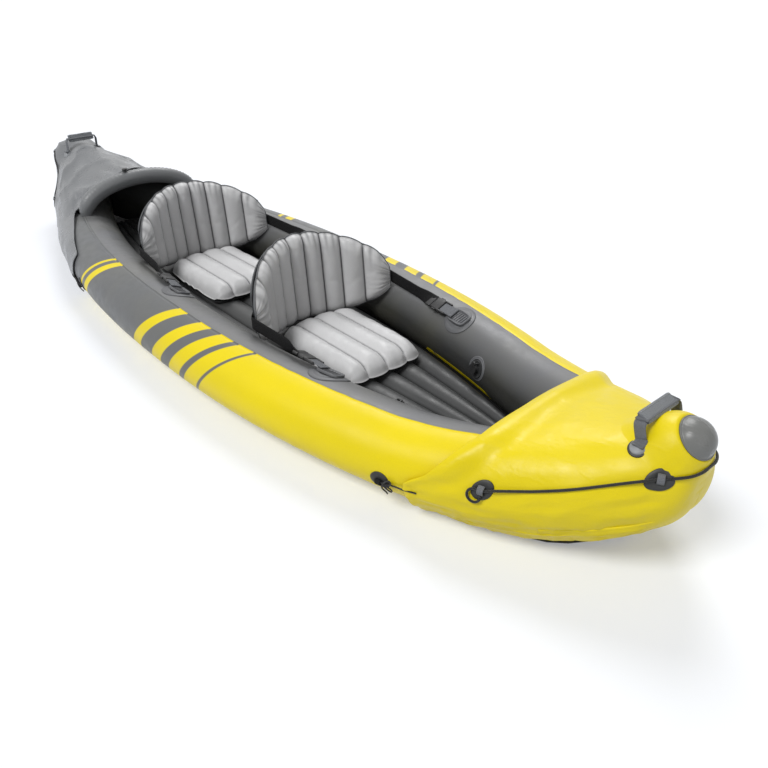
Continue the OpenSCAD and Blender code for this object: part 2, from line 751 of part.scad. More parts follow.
module stem() {
    difference() {
        cylinder(d = stem_d, h = stem_h);
        translate([0, 0, stem_floor]) cylinder(d = stem_d - 2 * stem_wall, h = stem_h);
    }
    both_sides()
        translate([-plug_hinge_x - post_t / 2, post_in, 0])
            cube([post_t, post_t, plug_hinge_z + plug_t / 2]);
    translate([-plug_hinge_x - post_t / 2, -post_in - post_t, 0])
        cube([plug_hinge_x - stem_d / 2 + post_t, 2 * (post_in + post_t), stem_floor - gap]);
    translate([-plug_hinge_x, -post_in - post_t, plug_hinge_z])
        rotate([-90, 0, 0]) cylinder(d = plug_pin_d, h = 2 * (post_in + post_t));
}
module plug() {
    difference() {
        union() {
            translate([0, 0, stem_h + gap]) cylinder(d = plug_d, h = plug_t);
            translate([0, 0, stem_h - plug_depth])
                cylinder(d = stem_d - 2 * stem_wall - 2 * gap, h = plug_depth + 1);
            translate([-plug_hinge_x, -plug_knuckle / 2, plug_hinge_z])
                rotate([-90, 0, 0]) cylinder(d = plug_t, h = plug_knuckle);
            translate([-plug_hinge_x, -plug_knuckle / 2, plug_hinge_z])
                cube([plug_hinge_x, plug_knuckle, plug_t / 2]);
        }
        translate([-plug_hinge_x, -plug_knuckle, plug_hinge_z])
            rotate([-90, 0, 0]) cylinder(d = plug_pin_d + 2 * rivet_play, h = 2 * plug_knuckle);
    }
}
module hoop_valve_stem() {
    color(dark_grey) hoop_valve_place() stem();
}
module hoop_valve_plug() {
    color(dark_grey) hoop_valve_place() plug();
}

// Seats: black base, channelled cushion, winged backrest and its rear panel
front_x = seat_x;
rear_x = seat_x - seat_pitch;
base_z = floor_top + gap;
cushion_z = base_z + base_t + gap;
corner_pull = 0.08;
corner_power = 5;
welt = 5;
cushion_rows = 12;
cushion_cols = 24;
back_x = 411;
hinge_back = back_x + back_t / 2 + gap + panel_t / 2;
hinge_rise = 7;
hinge_low = base_z + base_t + hinge_rise;
sleeve_r = 7.5;
rod_r = 4;
rod_play = 0.1;
rod_l = 212;
sleeve_l = 60;
sleeve_in = 44;
base_lap = 12;
base_back = hinge_back + base_lap;
base_front = 8;
base_inset = 8;
base_r = 40;
module seat_base(x) {
    difference() {
        union() {
            translate([x - (base_back + base_front) / 2, 0, base_z])
                round_plate(base_back - base_front, cushion_w - 2 * base_inset, base_r, base_t);
            both_sides()
                translate([x - hinge_back, sleeve_in, hinge_low])
                    rotate([-90, 0, 0]) cylinder(r = sleeve_r, h = sleeve_l);
        }
        translate([x - hinge_back, -cushion_w / 2, hinge_low])
            rotate([-90, 0, 0]) cylinder(r = rod_r + rod_play, h = cushion_w);
    }
}
// Cushion grid: u across from -1 to 1, v from the back at -1 to the front at 1
function pillow(u, power) = pow(max(0, 1 - pow(abs(u), power)), 0.5);
pleat = 10;
rear_hollow = 26;
function corner(u, v) = 1 - corner_pull * pow(abs(u * v), corner_power);
function cushion_plan(x, u, v) =
    let (tuck = pleat * (1 - lobe((u + 1) / 2, cushion_channels)) * smooth((v - 0.7) / 0.3))
    [x - cushion_l / 2 * (1 - v * corner(u, v)) - tuck + rear_hollow * u * u * unit(-v),
     cushion_w / 2 * u * corner(u, v)];
function cushion_top(x, u, v) =
    let (p = cushion_plan(x, u, v),
         channel = 0.72 + 0.28 * lobe((u + 1) / 2, cushion_channels),
         rise = (cushion_h - welt) * pillow(u, 6) * pillow(v, 6) * channel)
    [p[0], p[1], cushion_z + welt + rise];
function cushion_under(x, u, v) =
    let (p = cushion_plan(x, u, v))
    [p[0], p[1], cushion_z + welt * (1 - pillow(u, 10) * pillow(v, 10)) * 0.6];
module cushion(x) {
    us = [for (j = [0:cushion_cols]) mix(-1, 1, j / cushion_cols)];
    vs = [for (i = [0:cushion_rows]) mix(-1, 1, i / cushion_rows)];
    sheet([for (v = vs) [for (u = us) cushion_top(x, u, v)]],
          [for (v = vs) [for (u = us) cushion_under(x, u, v)]]);
}

// Backrest grid: s across from -1 to 1, t from the lower edge at 0 to the top at 1
back_low = 96;
wing_rise = 78;
wing_drop = 78;
back_slope = 0.09;
back_rows = 9;
lobe_cols = 4;
wing_corner = 60;
function back_bottom(s) = back_low + wing_rise * pow(abs(s), 2.4);
function back_top(s) =
    back_low + back_h - wing_drop * pow(abs(s), 2.2) - wing_corner * pow(abs(s), 14);
function back_z(s, t) = mix(back_bottom(s), back_top(s), t);
function back_point(x, s, z, h) =
    let (y = back_w / 2 * s, m = 4 * back_wrap * s / back_w, k = sqrt(1 + m * m))
    [x - back_x + back_wrap * s * s - back_slope * (z - back_low) + h / k, y - h * m / k, z];
function back_bulge(s, t) =
    let (round = pillow(2 * t - 1, 5) * pillow(s, 12))
    welt / 2 + (back_t / 2 - welt / 2) * round * (0.55 + 0.45 * lobe((s + 1) / 2, back_channels));
module backrest(x) {
    cols = back_channels * lobe_cols;
    ss = [for (j = [0:cols]) mix(-1, 1, j / cols)];
    ts = [for (i = [0:back_rows]) i / back_rows];
    sheet([for (t = ts) [for (s = ss) back_point(x, s, back_z(s, t), -back_bulge(s, t))]],
          [for (t = ts) [for (s = ss) back_point(x, s, back_z(s, t), back_bulge(s, t))]]);
}
panel_cols = 20;
panel_rows = 4;
panel_in = 0.955;
back_near = back_t / 2 + gap;
web_w = 80;
web_lap = 18;
panel_low = 0.04;
panel_high = 0.97;
module back_panel(x) {
    ss = [for (j = [0:panel_cols]) panel_in * mix(-1, 1, j / panel_cols)];
    ts = [for (i = [0:panel_rows]) mix(panel_low, panel_high, i / panel_rows)];
    sheet([for (t = ts) [for (s = ss) back_point(x, s, back_z(s, t), -back_near - panel_t)]],
          [for (t = ts) [for (s = ss) back_point(x, s, back_z(s, t), -back_near)]]);
    translate([x - hinge_back - panel_t / 2, -web_w / 2, hinge_low])
        cube([panel_t, web_w, back_low + web_lap - hinge_low]);
    translate([x - hinge_back, -rod_l / 2, hinge_low])
        rotate([-90, 0, 0]) cylinder(r = rod_r, h = rod_l);
}

// Straps from the backrest wings to welded anchors on the side chambers
anchor_ahead = 35;
anchor_a = 118;
pad_l = 72;
pad_w = 46;
pad_t = 7;
tab_w = 34;
tab_l = 52;
tab_in = 18;
buckle_l = 84;
buckle_w = 50;
buckle_t = 11;
buckle_at = 26;
strap_from = 64;
strap_height = 205;
strap_steps = 10;
function anchor_x(x) = x + anchor_ahead;
function anchor_back(x) =
    hull_local(anchor_x(x), anchor_a, 3 * gap + patch_t,
               [0, tab_in - pad_l / 2, pad_t + gap + webbing_t / 2]);
strap_wing = 0.985;
strap_sewn = 0.8;
strap_near = back_near + panel_t + gap;
function strap_end(x) = back_point(x, strap_wing, strap_height, -strap_near - strap_t / 2);
function strap_run(x) = direction(strap_end(x) - anchor_back(x));
function strap_side(x) =
    let (e = hull_local(anchor_x(x), anchor_a, 0, [1, 0, 0]) - hull_point(anchor_x(x), anchor_a, 0))
    direction(e - (e * strap_run(x)) * strap_run(x));
function strap_up(x) = cross(strap_side(x), strap_run(x));
module on_strap(x) {
    o = anchor_back(x);
    u = strap_run(x);
    v = strap_side(x);
    n = strap_up(x);
    multmatrix([[u[0], v[0], n[0], o[0]], [u[1], v[1], n[1], o[1]], [u[2], v[2], n[2], o[2]], [0, 0, 0, 1]])
        children();
}
module anchor_patches(x) {
    both_sides() hull_patch(anchor_x(x), anchor_a, anchor_d, 2 * gap);
}
module anchor_pads(x) {
    both_sides()
        on_hull(anchor_x(x), anchor_a, 3 * gap + patch_t) rotate(90) round_plate(pad_l, pad_w, 14, pad_t);
}
module anchor_tabs(x) {
    both_sides() on_strap(x)
        translate([0, -tab_w / 2, -webbing_t / 2]) cube([tab_l, tab_w, webbing_t]);
}
module buckles(x) {
    both_sides() on_strap(x)
        translate([buckle_at + buckle_l / 2, 0, 0]) difference() {
            translate([0, 0, -buckle_t / 2]) round_plate(buckle_l, buckle_w, 8, buckle_t);
            cube([buckle_l + 2, strap_w + 2 * gap, strap_t + 2 * gap], center = true);
            for (i = [-1, 1])
                translate([i * buckle_l / 4, 0, buckle_t / 2])
                    cube([buckle_l / 8, strap_w - 6, buckle_t], center = true);
        }
}
sewn_steps = 4;
function strap_line(x, t) = mix(anchor_back(x) + strap_run(x) * strap_from, strap_end(x), t);
function strap_edge(x, t) = direction(mix(strap_side(x), [back_slope, 0, -1], smooth((t - 0.3) / 0.7)));
function strap_row(x, t, lift) =
    let (p = strap_line(x, t), w = strap_edge(x, t), n = direction(cross(w, strap_run(x))))
    [for (k = [-1, 1]) p + k * strap_w / 2 * w + lift * n];
function sewn_row(x, t, lift) =
    let (s = mix(strap_wing, strap_sewn, t))
    [for (k = [-1, 1]) back_point(x, s, strap_height - k * strap_w / 2, -strap_near - strap_t / 2 - lift)];
function strap_face(x, lift) =
    concat([for (i = [0:strap_steps - 1]) strap_row(x, i / strap_steps, lift)],
           [for (i = [0:sewn_steps]) sewn_row(x, i / sewn_steps, lift)]);
module strap(x) {
    sheet(strap_face(x, -strap_t / 2), strap_face(x, strap_t / 2));
}
module front_seat_base() {
    color(black) seat_base(front_x);
}
module front_cushion() {
    color(seat_grey) cushion(front_x);
}
module front_backrest() {
    color(seat_grey) backrest(front_x);
}
module front_back_panel() {
    color(hull_grey) back_panel(front_x);
}
module front_buckles() {
    color(black) buckles(front_x);
}
module front_anchor_tabs() {
    color(hull_grey) anchor_tabs(front_x);
}
module front_anchor_patches() {
    color(hull_grey) anchor_patches(front_x);
}
module front_anchor_pads() {
    color(hull_grey) anchor_pads(front_x);
}
module front_port_strap() {
    color(black) strap(front_x);
}
module front_starboard_strap() {
    color(black) mirror([0, 1, 0]) strap(front_x);
}
module rear_seat_base() {
    color(black) seat_base(rear_x);
}
module rear_cushion() {
    color(seat_grey) cushion(rear_x);
}
module rear_backrest() {
    color(seat_grey) backrest(rear_x);
}
module rear_back_panel() {
    color(hull_grey) back_panel(rear_x);
}
module rear_buckles() {
    color(black) buckles(rear_x);
}
module rear_anchor_tabs() {
    color(hull_grey) anchor_tabs(rear_x);
}
module rear_anchor_patches() {
    color(hull_grey) anchor_patches(rear_x);
}
module rear_anchor_pads() {
    color(hull_grey) anchor_pads(rear_x);
}
module rear_port_strap() {
    color(black) strap(rear_x);
}
module rear_starboard_strap() {
    color(black) mirror([0, 1, 0]) strap(rear_x);
}

starboard_chamber();
port_chamber();
floor_chamber();
bottom_sheet();
bow_cover();
stern_cover();
stern_hoop();
bow_nose_collar();
bow_nose_cap();
bow_handle_tabs();
bow_handle_strap();
bow_handle_grip();
stern_handle_tabs();
stern_handle_strap();
stern_handle_grip();
bow_line_patches();
bow_grab_line();
stern_line_patches();
stern_grab_line();
bow_tie_patches();
bow_cover_ties();
stern_tie_patches();
stern_cover_ties();
port_valve_seat();
port_valve_cap();
starboard_valve_seat();
starboard_valve_cap();
floor_valve_seat();
floor_valve_cap();
hoop_valve_stem();
hoop_valve_plug();
front_seat_base();
front_cushion();
front_backrest();
front_back_panel();
front_port_strap();
front_starboard_strap();
front_buckles();
front_anchor_tabs();
front_anchor_patches();
front_anchor_pads();
rear_seat_base();
rear_cushion();
rear_backrest();
rear_back_panel();
rear_port_strap();
rear_starboard_strap();
rear_buckles();
rear_anchor_tabs();
rear_anchor_patches();
rear_anchor_pads();
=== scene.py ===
"""Looks of a two-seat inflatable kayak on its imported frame. Metres; +X is the bow, +Y port, +Z up."""
import math

import bmesh
import bpy
import numpy as np
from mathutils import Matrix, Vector, noise
from mathutils.bvhtree import BVHTree

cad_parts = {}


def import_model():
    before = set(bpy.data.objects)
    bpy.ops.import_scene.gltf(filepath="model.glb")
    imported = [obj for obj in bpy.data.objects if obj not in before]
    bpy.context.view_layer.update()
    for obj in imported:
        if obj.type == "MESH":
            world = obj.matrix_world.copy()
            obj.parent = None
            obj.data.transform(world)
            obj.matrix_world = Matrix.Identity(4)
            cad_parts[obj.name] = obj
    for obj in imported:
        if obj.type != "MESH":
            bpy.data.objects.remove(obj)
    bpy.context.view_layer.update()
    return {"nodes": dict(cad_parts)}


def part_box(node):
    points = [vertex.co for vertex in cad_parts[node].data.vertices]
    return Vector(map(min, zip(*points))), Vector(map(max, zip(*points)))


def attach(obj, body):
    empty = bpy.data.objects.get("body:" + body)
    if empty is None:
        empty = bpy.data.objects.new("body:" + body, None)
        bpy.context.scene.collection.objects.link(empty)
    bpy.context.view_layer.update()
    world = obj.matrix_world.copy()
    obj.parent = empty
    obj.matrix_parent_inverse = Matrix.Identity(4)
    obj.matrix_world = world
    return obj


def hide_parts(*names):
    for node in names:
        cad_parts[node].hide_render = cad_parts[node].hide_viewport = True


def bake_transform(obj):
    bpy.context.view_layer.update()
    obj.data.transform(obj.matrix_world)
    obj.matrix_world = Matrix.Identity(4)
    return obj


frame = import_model()
NODES = frame["nodes"]

# Hull lines
HALF_L = 1.560
GAP = 0.0004
COVER_OUT = 0.006
LINE_D = 0.006
TIP = HALF_L - COVER_OUT - LINE_D - GAP
BEAM = 0.910
TUBE_W = 0.232
TUBE_H = 0.186
WIDEST_X = 0.052
CENTRE_MAX = (BEAM - TUBE_W) / 2
PLAN_HALF_L = HALF_L - 0.069
PLAN_POWER = 2.29
TIP_Y = 0.020
KEEL = 0.0039
SHEER_START = HALF_L - 0.610
SHEER_RUN = 0.550
BOW_SHEER = 0.115
STERN_SHEER = 0.143
ROCKER_START = HALF_L - 0.410
ROCKER_RUN = 0.350
ROCKER = 0.100
END_RUN = 0.152
END_POWER = 3.2
TAPER_RUN = 0.330
TAPER_POWER = 2.6
SEAM_A = 86.0
SEAM_RIDGE = 0.0014
SEAM_GROOVE = 0.0010
SEAM_PUCKER = 0.0007
FLOOR_H = 0.066
FLOOR_TOP = KEEL + FLOOR_H
FLOOR_LOBES = 5
LOBE_DEPTH = 0.022
FLOOR_CORNER = 0.020
FLOOR_TIP = 0.040

# End covers and stern hoop
BOW_DECK = 0.394
BOW_EDGE = HALF_L - BOW_DECK
STERN_EDGE = 0.9004
BOW_CROWN = 0.022
STERN_CROWN = 0.123
TIP_CROWN = 0.014
CROWN_FALL = 0.538
CROWN_SPAN = 0.62
SHEET_T = 0.0030
SHEET_NEAR = 0.0008
FLAP_RUN = {BOW_EDGE: 0.092, STERN_EDGE: 0.330}
FLAP_FULL = {BOW_EDGE: 0.0, STERN_EDGE: 40.0}
FLAP_TOP = 72.0
FLAP_LOW = {1: -61.0, -1: -54.0}
BOW_LEAN = 0.046
BOW_EAR = 0.056
HEM_FROM = 1.07
STERN_CALM = 1.405
HOOP_X = -0.870
HOOP_R = 0.030
HOOP_RISE = 0.104
HOOP_END = 0.62

# Seat sizes
SEATS = {"front": 0.660, "rear": -0.042}
CUSHION_L = 0.382
CUSHION_W = 0.284
CUSHION_H = 0.058
CUSHION_Z = FLOOR_TOP + 0.0052
CUSHION_CHANNELS = 4
CHANNEL_W = CUSHION_W / CUSHION_CHANNELS
CUSHION_AHEAD = 0.004
CUSHION_TUCK = 0.010
FLANGE_UP = 0.0075
BACK_W = 0.472
BACK_H = 0.262
BACK_WRAP = 0.150
BACK_RAKE = 0.09
BACK_ARC = 0.381
BACK_CHANNELS = 9
BACK_T = 0.042
BACK_X = 0.411
BACK_LOW = 0.096
BACK_NEAR = BACK_T / 2 + GAP
BACK_RIM = -0.0125
BINDING_R = 0.0016
PANEL_T = 0.004
HINGE_BACK = BACK_X + BACK_NEAR + PANEL_T / 2
HINGE_Z = FLOOR_TOP + 0.0114
HINGE_HALF = 0.106
ROD_R = 0.004
HINGE_WEB_W = 0.080
SWELL_CAP = 0.005
CLOTH = {"quality": 6, "mass": 0.3, "tension_stiffness": 12, "compression_stiffness": 12,
         "shear_stiffness": 6, "bending_stiffness": 0.12, "use_pressure": True,
         "uniform_pressure_force": 6.0, "shrink_min": -0.006}

# Patches and webbing
PATCH_T = 0.0025
PATCH_SEAT = 0.0008
WEB_W = 0.025
WEB_T = 0.0025
STRAP_W = 0.038
STRAP_T = 0.0025

# Factors that put a port point on either side
PORT = np.array([1, 1, 1])
STARBOARD = np.array([1, -1, 1])
SIDES = (STARBOARD, PORT)


def unit(t):
    return np.clip(t, 0.0, 1.0)


def smooth(t):
    t = unit(t)
    return t * t * (3 - 2 * t)


def mix(a, b, t):
    return a + (b - a) * t


def bell(t):
    return np.exp(-np.square(t))


def direction(v):
    v = np.asarray(v, float)
    return v / np.linalg.norm(v, axis=-1, keepdims=True)


def lattice(a, b):
    return np.meshgrid(a, b, indexing="ij")


def lobe(u, channels, power=0.6):
    return np.abs(np.sin(np.pi * channels * np.asarray(u, float))) ** power


def round_lobe(u, channels):
    """Half-round channels side by side, sharp at their welds."""
    w = np.mod(np.asarray(u, float) * channels, 1.0)
    return np.sqrt(np.maximum(0.0, 1 - (2 * w - 1) ** 2))


def weld_line(u, channels, width, line):
    """1 on the welds between channels of a width, fading over a line's breadth."""
    w = np.mod(np.asarray(u, float) * channels + 0.5, 1.0) - 0.5
    inner = (u * channels > 0.5) & (u * channels < channels - 0.5)
    return np.where(inner, bell(w * width / line), 0.0)


def channel_steps(channels):
    """Positions across a sheet, closer together at each channel's welds."""
    w = np.array([0, 0.015, 0.05, 0.11, 0.2, 0.32, 0.44, 0.56, 0.68, 0.8, 0.89, 0.95, 0.985])
    return np.append((np.arange(channels)[:, None] + w[None]).ravel(), channels) / channels


def steps_with(channels, extra):
    """Channel positions from -1 to 1, with more of them near both edges."""
    return np.unique(np.round(np.concatenate([2 * channel_steps(channels) - 1, extra, np.negative(extra)]), 5))


def crumple(points, seed=0.0):
    """Seeded soft noise at points, about -1 to 1."""
    flat = np.asarray(points, float).reshape(-1, 3) + seed
    values = [noise.noise(Vector(p)) for p in flat]
    return np.array(values).reshape(np.shape(points)[:-1])


def sharp_folds(spot, seed):
    """Noise with narrow ridges, about 0 to 1."""
    return (1 - np.abs(crumple(spot, seed)) * 2.2).clip(0, 1) ** 3


def round_up(edge, reach):
    """Quarter round from 0 at an edge to 1 at its reach."""
    return np.sqrt(1 - (1 - unit(edge / reach)) ** 2)


def squarish(values, power):
    return np.sign(values) * np.abs(values) ** power


def ring_angles(sides):
    return np.arange(sides) * 2 * np.pi / sides


# Chamber centre line, heights and breadth at a station
def centre_y(x):
    return np.maximum(TIP_Y, CENTRE_MAX * (1 - (np.abs(x - WIDEST_X) / PLAN_HALF_L) ** PLAN_POWER))


def run_in(x, length):
    return unit((np.abs(x) - TIP + length) / length)


def end_run(x):
    return run_in(x, END_RUN)


def crest_z(x):
    rise = np.where(np.asarray(x) < 0, STERN_SHEER, BOW_SHEER)
    return KEEL + TUBE_H + rise * unit((np.abs(x) - SHEER_START) / SHEER_RUN) ** 1.5


def keel_z(x):
    return KEEL + ROCKER * (np.maximum(0, np.abs(x) - ROCKER_START) / ROCKER_RUN) ** 2


def mid_z(x):
    return (crest_z(x) + keel_z(x)) / 2


def end_scale(x):
    return (1 - end_run(x) ** END_POWER) ** (1 / END_POWER)


def half_w(x):
    return TUBE_W / 2 * (1 - run_in(x, TAPER_RUN) ** TAPER_POWER) ** (1 / TAPER_POWER)


def half_h(x):
    return (crest_z(x) - keel_z(x)) / 2 * end_scale(x)


def skin(x, a, off=0.0):
    """Point over the port chamber: angle 0 is outboard, 90 the crest, 180 inboard."""
    x, a, off = np.broadcast_arrays(np.asarray(x, float), np.asarray(a, float), np.asarray(off, float))
    r = np.radians(a)
    return np.stack([x + np.sign(x) * off * end_run(x) ** 2,
                     centre_y(x) + (half_w(x) + off) * np.cos(r),
                     mid_z(x) + (half_h(x) + off) * np.sin(r)], -1)


def hull_map(x, a, off):
    """Map from (along, up, out) in metres about a point of the hull side to the frame."""
    along = np.linalg.norm(skin(x + 0.001, a, off) - skin(x - 0.001, a, off)) / 0.002
    across = np.linalg.norm(skin(x, a + 1, off) - skin(x, a - 1, off)) / 2

    def place(p):
        p = np.asarray(p, float)
        return skin(x + p[..., 0] / along, a + p[..., 1] / across, off + p[..., 2])
    return place


def hull_axes(x, a):
    """Outward normal, downslope and level directions of the hull at a point."""
    n = direction(np.cross(skin(x, a + 1) - skin(x, a - 1), skin(x + 0.001, a) - skin(x - 0.001, a)))
    turn = math.atan2(n[1], n[0])
    tip = math.acos(n[2])
    down = np.array([math.cos(tip) * math.cos(turn), math.cos(tip) * math.sin(turn), -math.sin(tip)])
    level = np.array([-math.sin(turn), math.cos(turn), 0.0])
    return n, down, level


def hull_local(x, a, off, v):
    n, down, level = hull_axes(x, a)
    return skin(x, a, off) + v[0] * down + v[1] * level + v[2] * n


# Deck of the end covers
def crown(x):
    x = np.asarray(x, float)
    fall = unit((-STERN_EDGE - x) / CROWN_FALL) ** 1.5
    bow = mix(BOW_CROWN, TIP_CROWN, (x - BOW_EDGE) / BOW_DECK)
    return end_scale(x) * np.where(x > 0, bow, mix(STERN_CROWN, TIP_CROWN, fall))


def crown_at(x, y):
    return crown(x) * np.maximum(0, 1 - (y / (centre_y(x) + CROWN_SPAN * half_w(x))) ** 2) ** 2


def deck_z(x, y, off=0.0):
    side = np.maximum(0, np.abs(y) - centre_y(x)) / (half_w(x) + off)
    return crown_at(x, y) + mid_z(x) + (half_h(x) + off) * np.sqrt(np.maximum(0, 1 - side ** 2))


def deck_skin_z(x, y, off):
    return deck_z(x - np.sign(x) * off * end_run(x) ** 2, y, off)


def deck_map(x, y, off):
    """Map from (fore, port, up) about a point of the deck to the frame."""
    def place(p):
        p = np.asarray(p, float)
        u = x + p[..., 0]
        v = y + p[..., 1]
        return np.stack([u, v, deck_skin_z(u, v, off) + p[..., 2]], -1)
    return place


def frame_map(origin, u, v, n):
    """Map from local axes u, v, n at an origin to the frame."""
    axes = np.stack([np.asarray(u, float), np.asarray(v, float), np.asarray(n, float)])

    def place(p):
        return np.asarray(origin, float) + np.asarray(p, float) @ axes
    return place


def flipped(place, flip):
    return lambda p: place(p) * flip


def quads(rows, cols, wrap=False):
    """Faces of a grid of points that are counted row by row."""
    last = cols if wrap else cols - 1
    return [[i * cols + j, i * cols + (j + 1) % cols, (i + 1) * cols + (j + 1) % cols, (i + 1) * cols + j]
            for i in range(rows - 1) for j in range(last)]


def path_run(path):
    """Unit tangents of a path and its running length."""
    steps = np.linalg.norm(np.diff(path, axis=0), axis=1)
    return direction(np.gradient(path, axis=0)), np.concatenate([[0], np.cumsum(steps)])


def spline(points, step=0.004):
    """Smooth even path through points."""
    points = np.asarray(points, float)
    padded = np.concatenate([[2 * points[0] - points[1]], points, [2 * points[-1] - points[-2]]])
    out = []
    for a, b, c, d in zip(padded, padded[1:], padded[2:], padded[3:]):
        n = max(2, int(np.linalg.norm(c - b) / step))
        t = np.arange(n)[:, None] / n
        out.append(0.5 * (2 * b + (c - a) * t + (2 * a - 5 * b + 4 * c - d) * t ** 2
                          + (3 * b - a - 3 * c + d) * t ** 3))
    return np.concatenate(out + [points[-1:]])


def hermite(a, leave, b, arrive, t):
    """Curve from a to b with the slopes at its ends."""
    return ((2 * t ** 3 - 3 * t ** 2 + 1) * a + (t ** 3 - 2 * t ** 2 + t) * leave
            + (3 * t ** 2 - 2 * t ** 3) * b + (t ** 3 - t ** 2) * arrive)


def add_object(name, data):
    made = bpy.data.objects.new(name, data)
    bpy.context.scene.collection.objects.link(made)
    return made


class Builder:
    """Collects grids, tubes and blocks of points, with number fields, into one mesh."""

    def __init__(self):
        self.count = 0
        self.points = []
        self.faces = []
        self.slots = []
        self.fields = []

    def add(self, points, faces, slot=0, fields=None):
        points = np.asarray(points, float).reshape(-1, 3)
        self.points.append(points)
        self.faces += [[self.count + k for k in face] for face in faces]
        self.slots += [slot] * len(faces)
        self.fields.append((len(points), fields or {}))
        self.count += len(points)

    def grid(self, points, wrap=False, slot=0, **fields):
        rows, cols = np.shape(points)[:2]
        self.add(points, quads(rows, cols, wrap), slot, fields)

    def shell(self, top, under, slot=0, **fields):
        """Closed sheet between two grids of equal size."""
        self.grid(top, slot=slot, **fields)
        self.grid(under, slot=slot, **fields)
        rows, cols = np.shape(top)[:2]
        rim = [(0, j) for j in range(cols)] + [(i, cols - 1) for i in range(1, rows)]
        rim += [(rows - 1, j) for j in range(cols - 2, -1, -1)] + [(i, 0) for i in range(rows - 2, -1, -1)]
        edge = np.array([[top[i][j] for i, j in rim], [under[i][j] for i, j in rim]])
        picked = {key: np.array([[value[i][j] for i, j in rim]] * 2) for key, value in fields.items()}
        self.grid(edge, slot=slot, **picked)

    def turned(self, profile, place, sides, slot=0):
        """Solid of revolution of (radius, height) pairs, laid on a surface by place."""
        b = ring_angles(sides)
        circle = np.stack([np.cos(b), np.sin(b)], -1)
        rings = np.array([np.column_stack([r * circle, np.full(sides, h)]) for r, h in profile])
        radii = np.array([[r] * sides for r, h in profile])
        self.grid(place(rings), wrap=True, slot=slot, u=radii, v=np.broadcast_to(b, radii.shape))

    def tube(self, path, radius, sides, slot=0):
        """Round cord along a path, with its ends closed."""
        path = np.asarray(path, float)
        tangent, along = path_run(path)
        normals = [direction(np.cross(tangent[0], [0.3, 0.2, 1.0]))]
        for t in tangent[1:]:
            normals.append(direction(normals[-1] - np.dot(normals[-1], t) * t))
        normals = np.array(normals)
        binormals = np.cross(tangent, normals)
        b = ring_angles(sides)
        ring = np.cos(b)[None, :, None] * normals[:, None] + np.sin(b)[None, :, None] * binormals[:, None]
        ends = (path[0] - tangent[0] * radius * 0.4, path[-1] + tangent[-1] * radius * 0.4)
        caps = [np.repeat(end[None, None], sides, 1) for end in ends]
        rows = np.concatenate([caps[0], path[:, None] + radius * ring, caps[1]])
        along = np.concatenate([along[:1], along, along[-1:]])[:, None]
        shape = rows.shape[:2]
        self.grid(rows, wrap=True, slot=slot, u=np.broadcast_to(b, shape), v=np.broadcast_to(along, shape))

    def strip(self, path, across, width, thick, slot=0, columns=8):
        """Flat webbing along a path, with soft edges; across gives its width direction."""
        path = np.asarray(path, float)
        tangent, along = path_run(path)
        side = direction(np.broadcast_to(np.asarray(across, float), path.shape))
        out = direction(np.cross(tangent, side))
        side = np.cross(out, tangent)
        c = np.linspace(-1, 1, columns + 1)
        lift = thick / 2 * np.sqrt(np.maximum(0.04, 1 - np.abs(c) ** 10))
        along = np.broadcast_to(along[:, None], (len(path), columns + 1))
        wide = np.broadcast_to(c * width / 2, along.shape)
        flat = path[:, None] + wide[..., None] * side[:, None]
        rise = lift[None, :, None] * out[:, None]
        self.shell(flat + rise, flat - rise, slot, u=wide, v=along)

    def block(self, place, size, radius, centre):
        """Box with rounded edges."""
        bm = bmesh.new()
        bmesh.ops.create_cube(bm, size=1.0)
        bmesh.ops.scale(bm, vec=Vector(size), verts=bm.verts)
        bmesh.ops.bevel(bm, geom=bm.edges[:], offset=radius, segments=3, profile=0.5, affect="EDGES",
                        clamp_overlap=True)
        bm.verts.index_update()
        points = np.array([v.co[:] for v in bm.verts]) + centre
        faces = [[v.index for v in f.verts] for f in bm.faces]
        bm.free()
        self.add(place(points), faces, 0, {"u": points[:, 0], "v": points[:, 1]})

    def piece(self, name, *materials):
        """Object of all that was collected, with doubled points joined."""
        mesh = bpy.data.meshes.new(name)
        mesh.from_pydata(np.concatenate(self.points).tolist(), [], self.faces)
        mesh.polygons.foreach_set("material_index", self.slots)
        for key in sorted({k for _, fields in self.fields for k in fields}):
            values = [np.ravel(fields[key]) if key in fields else np.zeros(n) for n, fields in self.fields]
            data = mesh.attributes.new(key, "FLOAT", "POINT").data
            data.foreach_set("value", np.concatenate(values).astype(np.float32))
        bm = bmesh.new()
        bm.from_mesh(mesh)
        bmesh.ops.remove_doubles(bm, verts=bm.verts, dist=1e-6)
        bmesh.ops.dissolve_degenerate(bm, edges=bm.edges, dist=1e-7)
        bmesh.ops.recalc_face_normals(bm, faces=bm.faces)
        bm.to_mesh(mesh)
        bm.free()
        mesh.shade_smooth()
        for material in materials:
            mesh.materials.append(material)
        return add_object(name, mesh)


def dress(piece, body, slot, *replaced):
    """Set a finished piece on its body, in place of CAD nodes."""
    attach(piece, body)
    if replaced:
        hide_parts(*replaced)
    return piece


# Materials
def linear(code):
    """Linear colour of a six-figure sRGB code."""
    parts = [int(code[k:k + 2], 16) / 255 for k in (0, 2, 4)]
    return tuple(p / 12.92 if p <= 0.04045 else ((p + 0.055) / 1.055) ** 2.4 for p in parts) + (1.0,)


def shade(colour, k):
    return tuple(min(1.0, c * k) for c in colour[:3]) + (1.0,)


